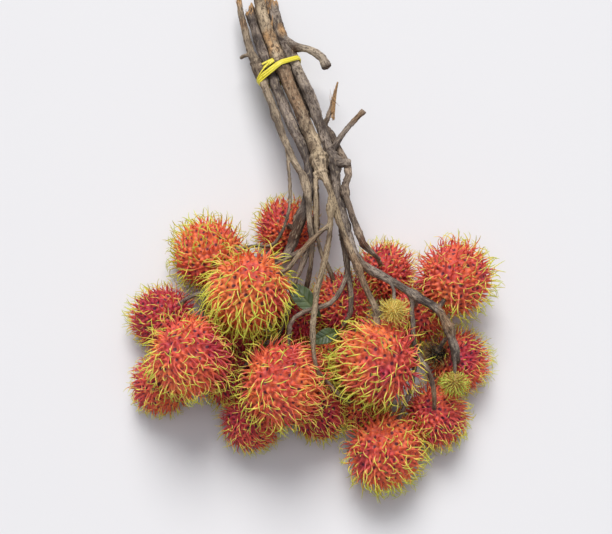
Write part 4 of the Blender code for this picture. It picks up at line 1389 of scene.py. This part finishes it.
TWINE, tree, shader = new_material("twine_plastic", (0.86, 0.74, 0.02), 0.35)
fibre = noise_node(tree, grain_node(tree, (4.0, 4.0, 0.25)), 2.0, 3)
YELLOWS = ((0.32, (0.46, 0.36, 0.01)), (0.46, (0.82, 0.69, 0.02)), (0.70, (0.94, 0.90, 0.16)))
rough = range_node(tree, fibre, 0.3, 0.7, 0.50, 0.28)
surface(tree, shader, ramp_node(tree, fibre, YELLOWS), rough, 0.6, fibre, 0.5, 0.0003)

twine = joined_piece("yellow_twine", loops, polygons, TWINE)
twine.data.shade_smooth()
keep_grain(twine.data, np.concatenate(runs))
bpy.ops.object.select_all(action="DESELECT")
bpy.context.view_layer.objects.active = twine
twine.select_set(True)
edit_all(bpy.ops.mesh.normals_make_consistent, inside=False)
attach(twine, BODY)
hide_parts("twine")
print("twine", len(twine.data.polygons), "faces in", len(STRANDS), "turns")

# %% [markdown]
# ## Leaves
# Two leaves are caught between the fruits: dull, dark green, folded a little along the midrib and
# quilted between the side veins. A subdivided copy of the solid leaf is bent by its own veins. Two
# numbers place each point on the leaf: how far along the midrib it is, and how far to the side.

# %% Leaf material
LEAF_GREENS = ((0.3, (0.026, 0.046, 0.015)), (0.7, (0.066, 0.100, 0.030)))
VEIN_GREEN = (0.095, 0.13, 0.045)
MIDRIB_GREEN = (0.12, 0.14, 0.05)
LEAF, tree, shader = new_material("dull_leaf", (0.035, 0.075, 0.028), 0.5)
vein, rib, _, _ = attribute_node(tree, "veins")
mottle = noise_node(tree, tree.nodes.new("ShaderNodeTexCoord").outputs["Object"], 160, 4)
green = ramp_node(tree, mottle, LEAF_GREENS)
green = mix_node(tree, math_node(tree, "MULTIPLY", vein, 0.35), green, VEIN_GREEN)
green = mix_node(tree, math_node(tree, "MULTIPLY", rib, 0.6), green, MIDRIB_GREEN)
surface(tree, shader, green, range_node(tree, mottle, 0.3, 0.7, 0.38, 0.60), 0.45, mottle, 0.3, 0.0003)
print("leaf material", LEAF.name)

# %% Leaves
VEINS = 7  # side veins along a leaf
VEIN_SLANT = 1.3  # how far a side vein runs on towards the tip, in veins
MIDRIB = 0.7  # half width in mm
QUILT, MIDRIB_DEPTH, WAVE = 0.35, 0.45, 0.9  # heights in mm


def veined_leaf(name, source):
    """A leaf with a sunken midrib, side veins and a wavy edge."""
    leaf = welded_copy(name, source)
    edit_all(bpy.ops.mesh.tris_convert_to_quads)
    finer = leaf.modifiers.new("finer", "SUBSURF")
    finer.levels = finer.render_levels = 4
    bpy.ops.object.modifier_apply(modifier=finer.name)
    bpy.ops.object.shade_smooth()
    points = coordinates(leaf.data) / MM
    middle = points.mean(0)
    axes = np.linalg.svd(points - middle, full_matrices=False)[2]
    along, side = (points - middle) @ axes[0], (points - middle) @ axes[1]
    up = axes[2] * np.sign(axes[2][2])
    share = (along - along.min()) / np.ptp(along)
    wide = np.abs(side) / np.abs(side).max()
    vein = np.abs((share * VEINS - wide * VEIN_SLANT) % 1 - 0.5) * 2
    rib = np.exp(-((side / MIDRIB) ** 2))
    quilt = QUILT * (1 - vein**4) - MIDRIB_DEPTH * rib + WAVE * noise_of(points * 0.12)
    settle(leaf, points + up * quilt[:, None], LEAF)
    paint_points(leaf.data, "veins", (vein**6, rib))
    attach(leaf, BODY)
    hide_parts(source)
    return leaf


for source in ("leaf_1", "leaf_2"):
    leaf = veined_leaf(source.replace("leaf", "caught_leaf"), source)
    print(leaf.name, len(leaf.data.polygons), "faces")
